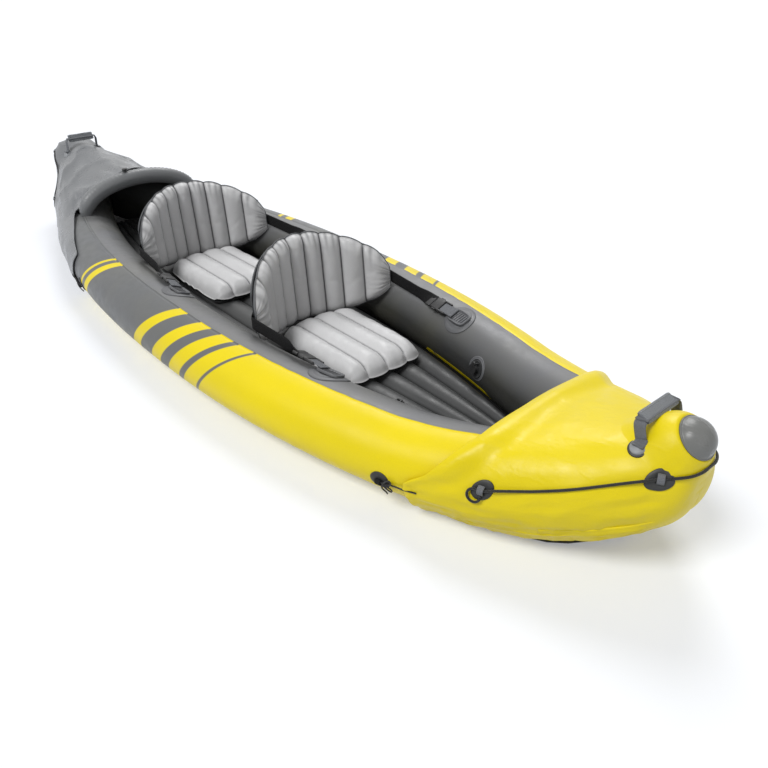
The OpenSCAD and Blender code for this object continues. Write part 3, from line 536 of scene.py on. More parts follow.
class Shader:
    """Short way to wire the nodes of one material."""

    def __init__(self, name, **sockets):
        self.material = bpy.data.materials.new(name)
        self.material.use_nodes = True
        self.tree = self.material.node_tree
        self.surface = self.tree.nodes["Principled BSDF"]
        for key, value in sockets.items():
            self.set(key.replace("_", " "), value)
        self.spot = None

    def put(self, socket, value):
        if isinstance(value, bpy.types.NodeSocket):
            self.tree.links.new(value, socket)
        else:
            socket.default_value = value

    def set(self, key, value):
        self.put(self.surface.inputs[key], value)

    def node(self, kind, *values, **inputs):
        """New node with its inputs set or linked, in order or by name."""
        made = self.tree.nodes.new("ShaderNode" + kind)
        for socket, value in zip(made.inputs, values):
            self.put(socket, value)
        for key, value in inputs.items():
            self.put(made.inputs[key.replace("_", " ")], value)
        return made

    def field(self, name):
        made = self.node("Attribute")
        made.attribute_name = name
        return made.outputs["Fac"]

    def place(self):
        if self.spot is None:
            self.spot = self.node("TexCoord").outputs["Object"]
        return self.spot

    def stretch(self, scale):
        return self.node("Mapping", Vector=self.place(), Scale=scale).outputs["Vector"]

    def noise(self, scale, detail=2.0, vector=None):
        vector = vector or self.place()
        return self.node("TexNoise", Vector=vector, Scale=scale, Detail=detail).outputs["Fac"]

    def cells(self, scale):
        return self.node("TexVoronoi", Vector=self.place(), Scale=scale).outputs["Distance"]

    def maths(self, operation, a, b=0.0):
        made = self.node("Math", a, b)
        made.operation = operation
        return made.outputs[0]

    def times(self, a, b):
        return self.maths("MULTIPLY", a, b)

    def wave(self, value):
        return self.maths("SINE", value)

    def span(self, value, low, high, to_low=0.0, to_high=1.0):
        made = self.node("MapRange", Value=value, From_Min=low, From_Max=high, To_Min=to_low, To_Max=to_high)
        return made.outputs["Result"]

    def between(self, value, low, high, soft):
        """1 where value lies between low and high, with soft edges."""
        up = self.span(value, low - soft, low + soft)
        return self.times(up, self.span(value, high + soft, high - soft))

    def blend(self, factor, a, b):
        made = self.node("Mix")
        made.data_type = "RGBA"
        for k, value in ((0, factor), (6, a), (7, b)):
            self.put(made.inputs[k], value)
        return made.outputs[2]

    def two_tone(self, factor, code, dark, light):
        """Colour between a darker and a lighter tone of one code."""
        self.set("Base Color", self.blend(factor, shade(linear(code), dark), shade(linear(code), light)))

    def rough(self, value, low, high):
        """Roughness that follows a noise."""
        self.set("Roughness", self.span(value, 0.3, 0.7, low, high))

    def bump(self, *layers):
        """Stack of (height, strength, distance) bumps."""
        below = {}
        for height, strength, distance in layers:
            made = self.node("Bump", Height=height, Strength=strength, Distance=distance, **below)
            below = {"Normal": made.outputs["Normal"]}
        self.set("Normal", below["Normal"])

    def vinyl_finish(self, colour, roughness, soft=0.0012, creased=0.0, dull="8f8f8a"):
        """Uneven tone, fine coated grain and slack, creased surface of sheet vinyl."""
        tone = self.noise(5.5, 3.0)
        speck = self.noise(650.0, 2.0)
        dulled = self.blend(self.span(tone, 0.3, 0.7, 0.0, 0.08), colour, linear(dull))
        self.set("Base Color", self.blend(self.span(speck, 0.35, 0.7, 0.0, 0.07), dulled, linear("3c3c3c")))
        self.rough(self.noise(34.0, 3.0), roughness - 0.07, roughness + 0.09)
        layers = [(self.noise(24.0, 2.0), 0.30, soft), (speck, 0.16, 0.0004)]
        if creased:
            swirl = self.noise(13.0, 3.0, self.stretch((1.0, 1.6, 1.3)))
            apart = self.maths("ABSOLUTE", self.maths("SUBTRACT", swirl, 0.5))
            layers.append((self.span(apart, 0.0, 0.07, 1.0, 0.0), 0.35, creased))
        self.bump(*layers)


def vinyl(name, code, roughness=0.42, soft=0.0012, coat=0.0, welds=None, **finish):
    """Sheet vinyl; where a piece has a weld field, its colour darkens along it as painted shade."""
    s = Shader(name, Specular_IOR_Level=0.36, Coat_Weight=coat, Coat_Roughness=0.22)
    colour = linear(code)
    # Painted shade: the weld field blends the colour toward the welds code.
    if welds:
        colour = s.blend(s.times(s.field("weld"), 0.8), colour, linear(welds))
    s.vinyl_finish(colour, roughness, soft, **finish)
    return s.material


# Raked bars of the hull print, by station at the side's middle
BAR_RAKE = 0.0013
BAR_SOFT = 0.002
GREY_BARS = ((0.058, 0.130), (0.184, 0.232), (0.290, 0.316), (0.378, 0.390))
YELLOW_BARS = ((-0.482, -0.466), (-0.440, -0.404))


def hull_skin(name):
    """Yellow forward, grey aft and inside, parted by raked bars, with the welded seam and painted shade low
    inside.
    """
    s = Shader(name, Specular_IOR_Level=0.30)
    station = s.field("station")
    section = s.field("section")
    rake = s.maths("SUBTRACT", station, s.times(section, BAR_RAKE))
    aft = s.span(rake, 0.012, 0.008)
    for operation, bars in (("MAXIMUM", GREY_BARS), ("SUBTRACT", YELLOW_BARS)):
        for low, high in bars:
            aft = s.maths(operation, aft, s.between(rake, low, high, BAR_SOFT))
    aft = s.times(aft, s.span(section, -34.0, -33.0))
    aft = s.maths("MAXIMUM", aft, s.span(station, -0.58, -0.60))
    outer = s.blend(aft, linear("f0d902"), linear("65676a"))
    along = s.maths("ABSOLUTE", s.maths("SUBTRACT", station, 0.75))
    inside = s.times(s.span(section, SEAM_A - 0.15, SEAM_A + 0.15),
                     s.maths("LESS_THAN", section, s.span(along, 0.14, 0.24, 199.0, 264.0)))
    # Painted shade: the inside wall runs from 747578 near the crest seam to 303132 toward the floor.
    inner = s.blend(s.span(section, 98.0, 168.0), linear("747578"), linear("303132"))
    colour = s.blend(inside, outer, inner)
    seam = s.between(section, SEAM_A - 0.45, SEAM_A + 0.45, 0.25)
    colour = s.blend(s.times(seam, 0.55), colour, linear("4a4a48"))
    s.vinyl_finish(colour, 0.40, 0.0010, dull="8a8344")
    return s.material


def webbing(name, code, rib=0.0016, twill=0.0022):
    """Woven tape: ribs across, twill along and fuzz, with painted shade in the weave's hollows."""
    s = Shader(name, Specular_IOR_Level=0.2)
    u = s.field("u")
    warp = s.wave(s.times(u, 2 * math.pi / rib))
    weft = s.wave(s.maths("ADD", s.times(s.field("v"), 2 * math.pi / twill), s.times(u, 900.0)))
    weave = s.times(warp, weft)
    fuzz = s.noise(420.0, 3.0)
    # Painted shade: the weave's hollows take the darker tone; fuzz adds random tone.
    s.two_tone(s.span(s.maths("ADD", s.times(weave, 0.5), fuzz), 0.0, 1.0), code, 0.55, 1.35)
    s.rough(fuzz, 0.62, 0.82)
    s.bump((weave, 0.55, 0.0006), (fuzz, 0.2, 0.0004))
    return s.material


def rope(name, code):
    """Braided line: crossing strands wound both ways, with painted shade between the strands."""
    s = Shader(name, Specular_IOR_Level=0.3, Sheen_Weight=0.2)
    turn = s.times(s.field("u"), 2.0)
    v = s.times(s.field("v"), 950.0)
    strands = s.times(s.wave(s.maths("ADD", v, turn)), s.wave(s.maths("SUBTRACT", v, turn)))
    fleck = s.noise(500.0, 2.0)
    # Painted shade: darker tone between the strands; flecks add random tone.
    s.two_tone(s.span(s.maths("ADD", strands, fleck), -0.5, 1.5), code, 0.5, 1.7)
    s.rough(fleck, 0.6, 0.8)
    s.bump((strands, 0.7, 0.0009), (fleck, 0.2, 0.0003))
    return s.material


def moulded(name, code, roughness=0.48):
    """Moulded plastic: fine spark grain and faint flow lines."""
    s = Shader(name, Specular_IOR_Level=0.5)
    flow = s.noise(60.0, 3.0, s.stretch((1.0, 0.3, 1.0)))
    s.two_tone(s.span(flow, 0.3, 0.7), code, 0.86, 1.18)
    s.rough(flow, roughness - 0.08, roughness + 0.1)
    s.bump((s.cells(900.0), 0.22, 0.0004), (flow, 0.12, 0.0006))
    return s.material


def woven(name, code):
    """Coarse coated fabric: plain weave in the frame's own axes, with painted shade in the weave's hollows."""
    s = Shader(name, Specular_IOR_Level=0.35, Sheen_Weight=0.15)
    waves = []
    for bands in ("X", "DIAGONAL"):
        made = s.node("TexWave", Vector=s.place(), Scale=220.0, Distortion=0.6)
        made.bands_direction = bands
        waves.append(made.outputs["Fac"])
    weave = s.times(*waves)
    slack = s.noise(22.0, 3.0)
    # Painted shade: the weave's hollows take the darker tone; slack adds uneven tone.
    s.two_tone(s.span(s.maths("ADD", weave, slack), 0.4, 1.2), code, 0.7, 1.3)
    s.rough(slack, 0.55, 0.75)
    s.bump((slack, 0.35, 0.0016), (weave, 0.3, 0.0004))
    return s.material


HULL = hull_skin("hull_skin")
COVER_YELLOW = vinyl("cover_yellow", "ead402", 0.40, 0.0020, creased=0.0007, dull="9a8c10")
COVER_GREY = vinyl("cover_grey", "75777a", 0.30, 0.0007)
HOOP_GREY = vinyl("hoop_grey", "76787a", 0.40, 0.0010)
FLOOR_GREY = vinyl("floor_grey", "2e2f30", 0.44, 0.0012)
BOTTOM = woven("bottom_black", "232325")
# seat_light: 55565a is painted shade along the pad welds and pucker creases.
SEAT_LIGHT = vinyl("seat_light", "cbcbcc", 0.43, 0.0016, welds="55565a", creased=0.0007)
SEAT_DARK = vinyl("seat_dark", "5c5e61", 0.52, 0.0018)
BASE_BLACK = woven("base_black", "141415")
PANEL_GREY = woven("panel_grey", "47494c")
PATCH_BLACK = vinyl("patch_black", "1f2021", 0.46)
PATCH_GREY = vinyl("patch_grey", "5e5f62", 0.46)
CAP_GREY = vinyl("cap_grey", "6d6e6c", 0.30, 0.0030, coat=0.1, creased=0.0022)
TAPE_BLACK = webbing("tape_black", "131314")
TAPE_GREY = webbing("tape_grey", "74767a")
SLEEVE_GREY = webbing("sleeve_grey", "83868a", 0.0024, 0.0034)
THREAD = webbing("thread", "c9cbca", 0.0005, 0.0009)
ROPE_DARK = rope("rope_dark", "1b1b1b")
PLASTIC_BLACK = moulded("plastic_black", "141415")
PLASTIC_DARK = moulded("plastic_dark", "2c2d2e", 0.44)
PLASTIC_GREY = moulded("plastic_grey", "56575a", 0.44)
PLASTIC_PALE = moulded("plastic_pale", "84878a", 0.44)


# Hull
def chamber(name, side):
    """One side chamber with its welded crest seam."""
    x = TIP * np.sin(np.radians(np.linspace(-90, 90, 161)))
    a = np.unique(np.round(np.concatenate([np.arange(-96, 264, 5.0), np.arange(79, 93.1, 0.7)]), 3))
    xx, aa = lattice(x, a)
    weld = SEAM_RIDGE * bell((aa - SEAM_A) / 0.8) - SEAM_GROOVE * bell((aa - SEAM_A + 2.2) / 1.2)
    pucker = SEAM_PUCKER * np.sin(xx * 290 + 2 * np.sin(xx * 31)) * bell((aa - SEAM_A) / 5)
    points = skin(xx, aa, (weld + pucker) * smooth((TIP - np.abs(xx)) / 0.2))
    points[..., 1] = side * np.maximum(0.0005, points[..., 1])
    b = Builder()
    b.grid(points, wrap=True, station=xx, section=aa)
    dress(b.piece(name + "_skin", HULL), "hull", "hull_pvc", name)


def floor_half(x):
    return centre_y(x) - TUBE_W / 2 - 2 * GAP


def floor_chamber():
    """Inflated floor with lengthwise lobes."""
    reach = PLAN_HALF_L * (1 - (TUBE_W / 2 + FLOOR_TIP) / CENTRE_MAX) ** (1 / PLAN_POWER)
    ends = np.array([0, 0.002, 0.006, 0.012, 0.02])
    s = np.concatenate([ends, np.linspace(0.03, 0.97, 90), 1 - ends[::-1]])
    xx, uu = lattice(mix(WIDEST_X - reach, WIDEST_X + reach, s), channel_steps(FLOOR_LOBES))
    fill = 0.70 + 0.30 * round_up(np.minimum(s, 1 - s), 0.02)
    rise = FLOOR_H - LOBE_DEPTH * (1 - round_lobe(uu, FLOOR_LOBES))
    corner = FLOOR_CORNER * (1 - round_up(np.minimum(uu, 1 - uu), 0.03))
    y = floor_half(xx) * (1 - 2 * uu)
    top = np.stack([xx, y, KEEL + fill[:, None] * (rise - corner)], -1)
    under = np.stack([xx, y, np.full(xx.shape, KEEL)], -1)
    b = Builder()
    b.shell(top, under)
    dress(b.piece("floor_skin", FLOOR_GREY), "hull", "floor_pvc", "floor_chamber")


def edge_station(edge, a):
    return edge - FLAP_RUN[edge] * unit((FLAP_TOP - a) / (FLAP_TOP - FLAP_FULL[edge]))


def cover_start(edge, a):
    """Station of a cover's edge: the bow's flap has a rounded ear below a leaning edge."""
    if edge == STERN_EDGE:
        return edge_station(edge, a)
    leaning = edge - BOW_LEAN * unit((78 - a) / 52) ** 1.3
    return leaning - BOW_EAR * smooth((28 - a) / 28) + 0.006 * smooth((-4 - a) / 30)


def tuck_under(x):
    """Factor on a cover's lower angles that brings its foot in under the tip."""
    return 1 + 1.6 * smooth((np.abs(x) - 1.36) / 0.15)


def clear_of_tip(x):
    return smooth((TIP - np.abs(x)) / 0.06)


def cover_grids(end, edge, lift):
    """Grid of points over one end of the hull, with lift(x, angle, t, distance) as its offset."""
    angles = np.concatenate([np.linspace(FLAP_LOW[end], 60, 36), np.linspace(60, 90, 13)[1:]])
    decks = np.linspace(-1, 1, 31)[1:-1]
    a = np.concatenate([angles, np.full(len(decks), 90.0), angles[::-1]])
    t = np.concatenate([np.full(len(angles), -1.0), decks, np.full(len(angles), 1.0)])
    near = np.array([0, 0.003, 0.007, 0.012, 0.018, 0.025, 0.034, 0.046])
    s = np.concatenate([near, 0.046 + 0.954 * np.sin(np.linspace(0, np.pi / 2, 60)[1:])])
    start = cover_start(edge, a)
    x = end * mix(start[None], TIP, s[:, None])
    aa = np.where(a < 0, a * tuck_under(x), a)
    tt = np.broadcast_to(t, x.shape)
    off = lift(x, aa, tt, np.abs(x) - start[None])
    side = skin(x, aa, off)
    side[..., 1] = np.maximum(0.0, side[..., 1]) * (1 - smooth((-aa - 95) / 45))
    y = np.where(np.abs(tt) < 1, tt * centre_y(x), np.sign(tt) * side[..., 1])
    z = np.where(np.abs(tt) < 1, deck_z(x, y, off), side[..., 2] + np.where(aa > 0, crown_at(x, y), 0))
    points = np.stack([side[..., 0], y, z], -1)
    tip = np.array([np.max(np.abs(points[-1, :, 0])) * end, 0.0, float(mid_z(end * TIP))])
    return np.concatenate([points, np.broadcast_to(tip, points[-1:].shape)])


def bow_lift(x, a, t, d):
    """Rolled deck edge, hem lines along the foot, soft swells and sharp creases."""
    spot = np.stack([x, t * centre_y(x), a / 90], -1)
    y = np.abs(np.where(np.abs(t) < 1, t * centre_y(x), centre_y(x)))
    corner = bell((y - centre_y(x)) / 0.070)
    lip = (0.0100 + 0.0030 * corner) * bell((d - 0.022) / (0.019 + 0.012 * corner))
    lip = (lip - 0.0035 * bell((d - 0.070) / 0.020)) * smooth((a - 2) / 34)
    lip = lip + 0.0045 * bell((d - 0.010) / 0.010) * (1 - smooth((a - 2) / 34))
    foot = a - FLAP_LOW[1] * tuck_under(x)
    hem = 0.0016 * smooth((13 - foot) / 1.5) - 0.0012 * bell((foot - 15) / 1.3)
    low = smooth((46 - a) / 60)
    creases = 0.0044 * low * sharp_folds(spot * [9, 1, 8], 3.1)
    creases += 0.0036 * low * crumple(spot * [16, 2, 7], 6.3)
    swell = 0.0030 * crumple(spot * [7, 6, 2.5], 7.7) + 0.0016 * crumple(spot * [16, 13, 5], 2.9)
    pulls = 0.0022 * sharp_folds(spot * [6, 11, 3], 8.8) * bell((d - 0.09) / 0.07) * smooth((a - 30) / 40)
    hem_edge = -0.0010 * bell((d - 0.012) / 0.004) * (1 - smooth((a - 20) / 50))
    wear = (lip + hem + hem_edge + creases + swell + pulls) * clear_of_tip(x)
    return COVER_OUT + np.maximum(wear, -0.0035)


def stern_lift(x, a, t, d):
    """Gathers behind the hoop, a soft break along each shoulder and slack folds, calm at the handle."""
    spot = np.stack([x, t * centre_y(x), a / 90], -1)
    y = t * np.where(np.abs(t) < 1, centre_y(x), 0.25)
    aft = smooth((np.abs(x) - 0.90) / 0.10)
    gather = 0.0085 * np.sin(y * 105 + 7 * crumple(spot * 5, 1.3)) * np.exp(-np.abs(d - 0.06) / 0.07)
    gather = gather * smooth((a - 56) / 20) * smooth(d / 0.02)
    flange = 0.0050 * smooth((a - 56) / 14) * bell((d - 0.006) / 0.006)
    near_handle = bell((np.abs(x) - STERN_CALM) / 0.065)
    shoulder = 0.0150 * np.maximum(0, 1 - np.abs(a - 62) / 20) * aft * (1 - 0.95 * near_handle)
    folds = 0.0080 * crumple(spot * [5, 4, 3], 5.2) + 0.0080 * sharp_folds(spot * [5, 6, 2], 9.4)
    folds = folds * (0.35 + 0.65 * aft) + 0.0014 * crumple(spot * [14, 10, 6], 4.4)
    folds = folds * (1 - 0.9 * near_handle * smooth((a - 40) / 20))
    foot = a - FLAP_LOW[-1] * tuck_under(x)
    hem = 0.0010 * smooth((11 - foot) / 1.5) - 0.0010 * bell((foot - 13) / 1.3)
    hem += 0.0012 * smooth((0.020 - d) / 0.003) * (1 - smooth((a - 56) / 14))
    wear = gather + flange + shoulder + (folds + hem) * clear_of_tip(x)
    return COVER_OUT + 0.001 + np.maximum(wear, -0.0040)


# Hem strips at the bow cover's foot: low and high angle, first and last station, lift, seed
BOW_HEMS = ((-62, -36, 1.15, 1.46, 0.0036, 1.0), (-50, -27, 1.34, 1.515, 0.0046, 5.0))


def bow_hem(b):
    """Doubled hem strips along the foot of the bow cover, each with a loose, uneven edge."""
    for low, high, first, last, lift, seed in BOW_HEMS:
        x, k = lattice(np.linspace(first, last, 70), np.linspace(0, 1, 9))
        spot = np.stack([x * 22, k * 0.6, 0 * x], -1)
        wave = crumple(spot, seed)
        a = mix(low + 2.5 * wave, high + 1.5 * crumple(spot, seed + 3), k)
        ends = smooth((x - first) / 0.09) * smooth((last - x) / 0.05)
        off = bow_lift(x, a, np.ones(x.shape), x - HEM_FROM)
        off = off + lift * (0.35 + 0.65 * (1 - k) ** 0.7) * ends + 0.0016 * wave * (1 - k) * ends
        for flip in SIDES:
            b.shell(skin(x, a, off - 0.0006 + 0.0012 * ends) * flip, skin(x, a, off - 0.0020) * flip)


def cover(name, end, edge, lift, material, slot):
    """One end cover as a closed sheet over the chambers."""
    top = cover_grids(end, edge, lift)
    under = cover_grids(end, edge, lambda x, a, t, d: np.maximum(SHEET_NEAR, lift(x, a, t, d) - SHEET_T))
    b = Builder()
    b.shell(top, under)
    if end > 0:
        bow_hem(b)
    made = dress(b.piece(name + "_sheet", material), "hull", slot, name)
    return top


def stern_hoop():
    """Inflated hoop with a welded flange and puckers on its inner curve."""
    half = float(centre_y(HOOP_X))
    foot = float(mid_z(HOOP_X) + half_h(HOOP_X)) + GAP
    turn = np.linspace(-10, 190, 131)
    a = np.radians(turn)
    path = np.stack([np.full(len(a), HOOP_X), half * np.cos(a), foot + HOOP_RISE * np.sin(a)], -1)
    out = np.cross(path_run(path)[0], [1.0, 0, 0])
    b = ring_angles(40)
    pucker = 0.0013 * bell((np.degrees(b) - 90) / 50)[None] * np.sin(turn[:, None] * 2.6)
    weld = 0.0016 * bell((np.degrees(b)[None] - 180) / 4)
    taper = smooth((10 + np.minimum(turn, 180 - turn)) / 34)[:, None]
    r = (HOOP_R + pucker + weld) * mix(HOOP_END, 1.0, taper)
    ring = np.cos(b)[None, :, None] * np.array([1.0, 0, 0]) + np.sin(b)[None, :, None] * out[:, None]
    rows = path[:, None] + r[..., None] * ring
    caps = [np.repeat(path[k][None, None], len(b), 1) for k in (0, -1)]
    make = Builder()
    make.grid(np.concatenate([caps[0], rows, caps[1]]), wrap=True)
    dress(make.piece("stern_hoop_tube", HOOP_GREY), "hull", "cover_grey", "stern_hoop")


# Bow nose: a smooth dome set in a socket raised from the cover
CAP_TIP = math.radians(48)
CAP_AT = np.array([HALF_L - 0.038, 0.0, float(deck_z(HALF_L - 0.100, 0.0)) + 0.020])
CAP_R = 0.043
CAP_H = 0.030
CAP_LIP = [(CAP_R + 0.0010, 0.0012), (CAP_R + 0.0020, 0.0004), (CAP_R + 0.0016, -0.003), (0.0, -0.003)]
CAP_OUT = np.array([math.cos(CAP_TIP), 0.0, math.sin(CAP_TIP)])
CAP_UP = np.array([-math.sin(CAP_TIP), 0.0, math.cos(CAP_TIP)])
SOCKET_SIDES = 72
SOCKET_REACH = 0.052
cap_map = frame_map(CAP_AT, [0, 1, 0], CAP_UP, CAP_OUT)


def end_core(sign):
    """Point inside an end of the hull, to tell its outer side."""
    return np.array([sign * (HALF_L - 0.16), 0.0, float(mid_z(sign * TIP))])


def nose_cap():
    ball = (CAP_R ** 2 + CAP_H ** 2) / (2 * CAP_H)
    turns = np.linspace(0.0, math.asin(CAP_R / ball), 18)
    dome = [(ball * math.sin(g), CAP_H - ball * (1 - math.cos(g)) + GAP) for g in turns]
    b = Builder()
    b.turned(dome + CAP_LIP, cap_map, SOCKET_SIDES)
    dress(b.piece("bow_nose_dome", CAP_GREY), "hull", "cap_grey", "bow_nose_cap")


def surface_tree(*grids):
    """Search tree over grids of points."""
    points = []
    faces = []
    for grid in grids:
        first = len(points)
        points += [Vector(p) for p in grid.reshape(-1, 3)]
        faces += [[first + k for k in face] for face in quads(*grid.shape[:2])]
    return BVHTree.FromPolygons(points, faces)


def socket_column(tree, angle):
    """Points of the socket from the bow cover to the dome's rim and under it, at one angle round it."""
    ray = np.array([math.cos(angle), math.sin(angle), 0.0])
    rim = cap_map(ray * (CAP_R + 0.0026) + [0, 0, -0.0020])
    wide = cap_map(ray * (CAP_R + SOCKET_REACH))
    hit, n = tree.ray_cast(Vector(wide + CAP_OUT * 0.05), Vector(-CAP_OUT))[:2]
    foot = np.array(hit) if hit else wide - CAP_OUT * 0.060
    foot[0] = min(foot[0], HALF_L - 0.006)
    reach = np.linalg.norm(rim - foot)
    tangent = direction(rim - foot)
    if hit:
        n = np.array(n) * np.sign(np.dot(n, foot - end_core(1)))
        tangent = direction(tangent - np.dot(tangent, n) * n)
        foot = foot - n * 0.0015
    inward = -(ray[0] * np.array([0, 1.0, 0]) + ray[1] * CAP_UP)
    finish = direction(inward + 0.7 * CAP_OUT) * reach * 0.9
    curve = hermite(foot, tangent * reach * 1.1, rim, finish, np.linspace(0, 1, 17)[:, None])
    inner = [cap_map(ray * r + [0, 0, -0.006]) for r in (CAP_R - 0.002, 0.001)]
    return np.concatenate([[foot - CAP_OUT * 0.004], curve, inner])


def nose_collar(deck):
    """Socket that swells from the bow cover to the dome's rim."""
    tree = surface_tree(deck)
    turns = np.arange(SOCKET_SIDES + 1) * 2 * math.pi / SOCKET_SIDES
    grid = np.array([socket_column(tree, angle) for angle in turns]).transpose(1, 0, 2)
    b = Builder()
    b.grid(grid)
    dress(b.piece("bow_nose_socket", COVER_YELLOW), "hull", "cover_yellow", "bow_nose_collar")
    return grid[1:-2]


# Handles
HANDLE_X = {"bow": HALF_L - 0.113, "stern": -(HALF_L - 0.150)}
HANDLE_HALF = 0.065
HANDLE_H = 0.036
HANDLE_BEND = 0.014
HANDLE_LEAN = {"bow": -0.012, "stern": 0.004}
HANDLE_SAG = {"bow": 0.004, "stern": -0.002}
SLEEVE_HALF = 0.053
SLEEVE_HALF_W = 0.0155
SLEEVE_HALF_T = 0.0042
SLEEVE_ROLL = {"bow": math.radians(-24), "stern": math.radians(-60)}
SLEEVE_SEED = {"bow": 3.0, "stern": 1.0}
DISC_OUT = 0.006
DISC_PROFILE = [(0.0, 0.0012), (0.0180, 0.0012), (0.0192, 0.0006), (0.0196, -0.001), (0.0, -0.001)]
BUTTON_PROFILE = [(0.0, 0.0060), (0.0062, 0.0060), (0.0072, 0.0050), (0.0120, 0.0048), (0.0150, 0.0038),
                  (0.0162, 0.0024), (0.0166, 0.0004), (0.0, 0.0004)]
# Webbing's way up from a disc: outward of the bail's leg, and above the deck
BAIL_FOOT = ((0.014, 0.0044), (DISC_OUT, 0.0046), (0.0015, 0.0072), (0.0, 0.0130))
STITCH_STEP = 0.006
STITCH_L = 0.004
STITCH_SIDE = 0.0115
STITCH_REACH = 0.048
STITCH_R = 0.00045
DISC_SEAT = COVER_OUT + 0.0012


def handle_discs(end):
    """Welded discs with a button each, which hold a handle's webbing."""
    b = Builder()
    for side in (-1, 1):
        spot = deck_map(HANDLE_X[end], side * (HANDLE_HALF + DISC_OUT), DISC_SEAT)
        b.turned(DISC_PROFILE, spot, 48)
        b.turned(BUTTON_PROFILE, spot, 48, slot=1)
    dress(b.piece(end + "_handle_discs", PATCH_BLACK, PLASTIC_PALE), "hull", "black_plastic",
          end + "_handle_tabs")


def handle_bail(end, top):
    """Webbing that bends up from one disc and over to the other."""
    x = HANDLE_X[end]
    lean = HANDLE_LEAN[end]
    pivot_z = top - HANDLE_H
    r = HANDLE_BEND
    legs = []
    for side in (1, -1):
        deck = float(deck_skin_z(x, side * HANDLE_HALF, COVER_OUT))
        leg = [[x, side * (HANDLE_HALF + out), deck + up] for out, up in BAIL_FOOT]
        leg += [[x + k * lean, side * HANDLE_HALF, z] for k, z in ((0.15, pivot_z), (0.75, top - r))]
        leg += [[x + lean * (0.75 + 0.25 * math.sin(g)), side * (HANDLE_HALF - r + r * math.cos(g)),
                 top - r + r * math.sin(g)] for g in np.radians([30, 60, 90])]
        legs.append(leg)
    b = Builder()
    b.strip(spline(legs[0] + legs[1][::-1], 0.003), [1, 0, 0], WEB_W, WEB_T)
    strap = b.piece(end + "_handle_webbing", TAPE_GREY)
    deck_mid = float(deck_skin_z(x, HANDLE_HALF, COVER_OUT))
    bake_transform(strap)
    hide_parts(end + "_handle_strap")


def handle_sleeve(end, top):
    """Flat stitched sleeve round the middle of a handle."""
    roll = SLEEVE_ROLL[end]
    flat = np.array([math.cos(roll), 0.0, math.sin(roll)])
    face = np.array([-math.sin(roll), 0.0, math.cos(roll)])
    core = np.array([HANDLE_X[end] + HANDLE_LEAN[end], 0.0, top])
    b = ring_angles(40)
    yy, bb = lattice(np.linspace(-SLEEVE_HALF, SLEEVE_HALF, 47), b)
    ends = smooth((SLEEVE_HALF - np.abs(yy)) / 0.006)
    wide = (SLEEVE_HALF_W - 0.0012 * (1 - ends)) * squarish(np.cos(bb), 0.35)
    thick = (SLEEVE_HALF_T - 0.0006 * (1 - ends)) * squarish(np.sin(bb), 0.55)
    sag = 0.0012 * crumple(np.stack([yy * 40, bb, bb * 0], -1), SLEEVE_SEED[end])
    rows = core + wide[..., None] * flat + (thick + sag)[..., None] * face + yy[..., None] * [0, 1, 0]
    caps = [np.broadcast_to(core + [0, k * SLEEVE_HALF, 0], (1, len(b), 3)) for k in (-1, 1)]
    sleeve = Builder()
    sleeve.grid(np.concatenate([caps[0], rows, caps[1]]), wrap=True,
                u=np.pad(wide, ((1, 1), (0, 0))), v=np.pad(yy, ((1, 1), (0, 0))))
    for side in (-1, 1):
        for y in np.arange(-STITCH_REACH, STITCH_REACH + 0.0001, STITCH_STEP):
            stitch = [side * STITCH_SIDE * flat + (0.0043 + 0.0004 * math.cos(math.pi * d / STITCH_L)) * face
                      + core + [0, y + d, 0] for d in np.linspace(-STITCH_L / 2, STITCH_L / 2, 5)]
            sleeve.tube(stitch, STITCH_R, 6, slot=1)
    dress(sleeve.piece(end + "_handle_sleeve", SLEEVE_GREY, THREAD), end + "_bail", "grey_webbing",
          end + "_handle_grip")


def handle(end):
    """Carry handle: welded discs, a webbing bail that bends up from them, and a stitched sleeve."""
    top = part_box(end + "_handle_strap")[1][2] - WEB_T / 2 - HANDLE_SAG[end]
    handle_discs(end)
    handle_bail(end, top)
    handle_sleeve(end, top)


# Grab lines: (distance from the end, angle) of the loops, and the line's route between them
LOOP_REAR = (0.328, 18)
LOOP_FORE = (0.055, 38)
LOOP_R = 0.0098
LOOP_W = 0.014
LOOP_T = 0.002
LOOP_PATCH_D = 0.048
LINE_SEAT = COVER_OUT + PATCH_SEAT
LINE_LIFT = LINE_SEAT + PATCH_T + LINE_D / 2 + 0.0016
LINE_LOW = COVER_OUT + LINE_D / 2 + GAP
LINE_ROUTE = [(0.300, 20, LINE_LIFT), (0.260, 22, LINE_LOW), (0.220, 24, LINE_LOW), (0.180, 26, LINE_LOW),
              (0.140, 29, LINE_LOW), (0.105, 32, LINE_LOW), (0.084, 34, LINE_LIFT), (*LOOP_FORE, LINE_LIFT)]
LINE_NOSE = ((0.020, 0.047, 0.002), (0.008, 0.030, 0.008), (0.004, 0.010, 0.012))
LINE_CURL = 0.015
LINE_CLEAR = LINE_D / 2 + GAP
LINE_LOOSE = 0.290
LOOP_HOLD = 0.016
PATCH_PROFILE = [(0.0, 1.0), (0.30, 1.0), (0.62, 1.0), (0.70, 1.15), (0.78, 1.0), (0.93, 0.95), (0.985, 0.6),
                 (1.0, 0.1), (1.0, -0.6), (0.5, -0.6), (0.0, -0.6)]


def round_patch(b, place, diameter, flip):
    """Welded disc with a moulded ring, laid on the hull."""
    b.turned([(r * diameter / 2, h * PATCH_T) for r, h in PATCH_PROFILE], flipped(place, flip), 48)


def cord_loop(b, x, a, off, r, flip):
    """Webbing loop that stands over a patch and holds a line."""
    turns = np.radians(np.linspace(-18, 198, 25))
    path = [hull_local(x, a, off, [r * math.cos(g), 0, 0.0005 + r * max(0.05, math.sin(g))]) for g in turns]
    b.strip(np.array(path) * flip, hull_axes(x, a)[2] * flip, LOOP_W, LOOP_T, 1)


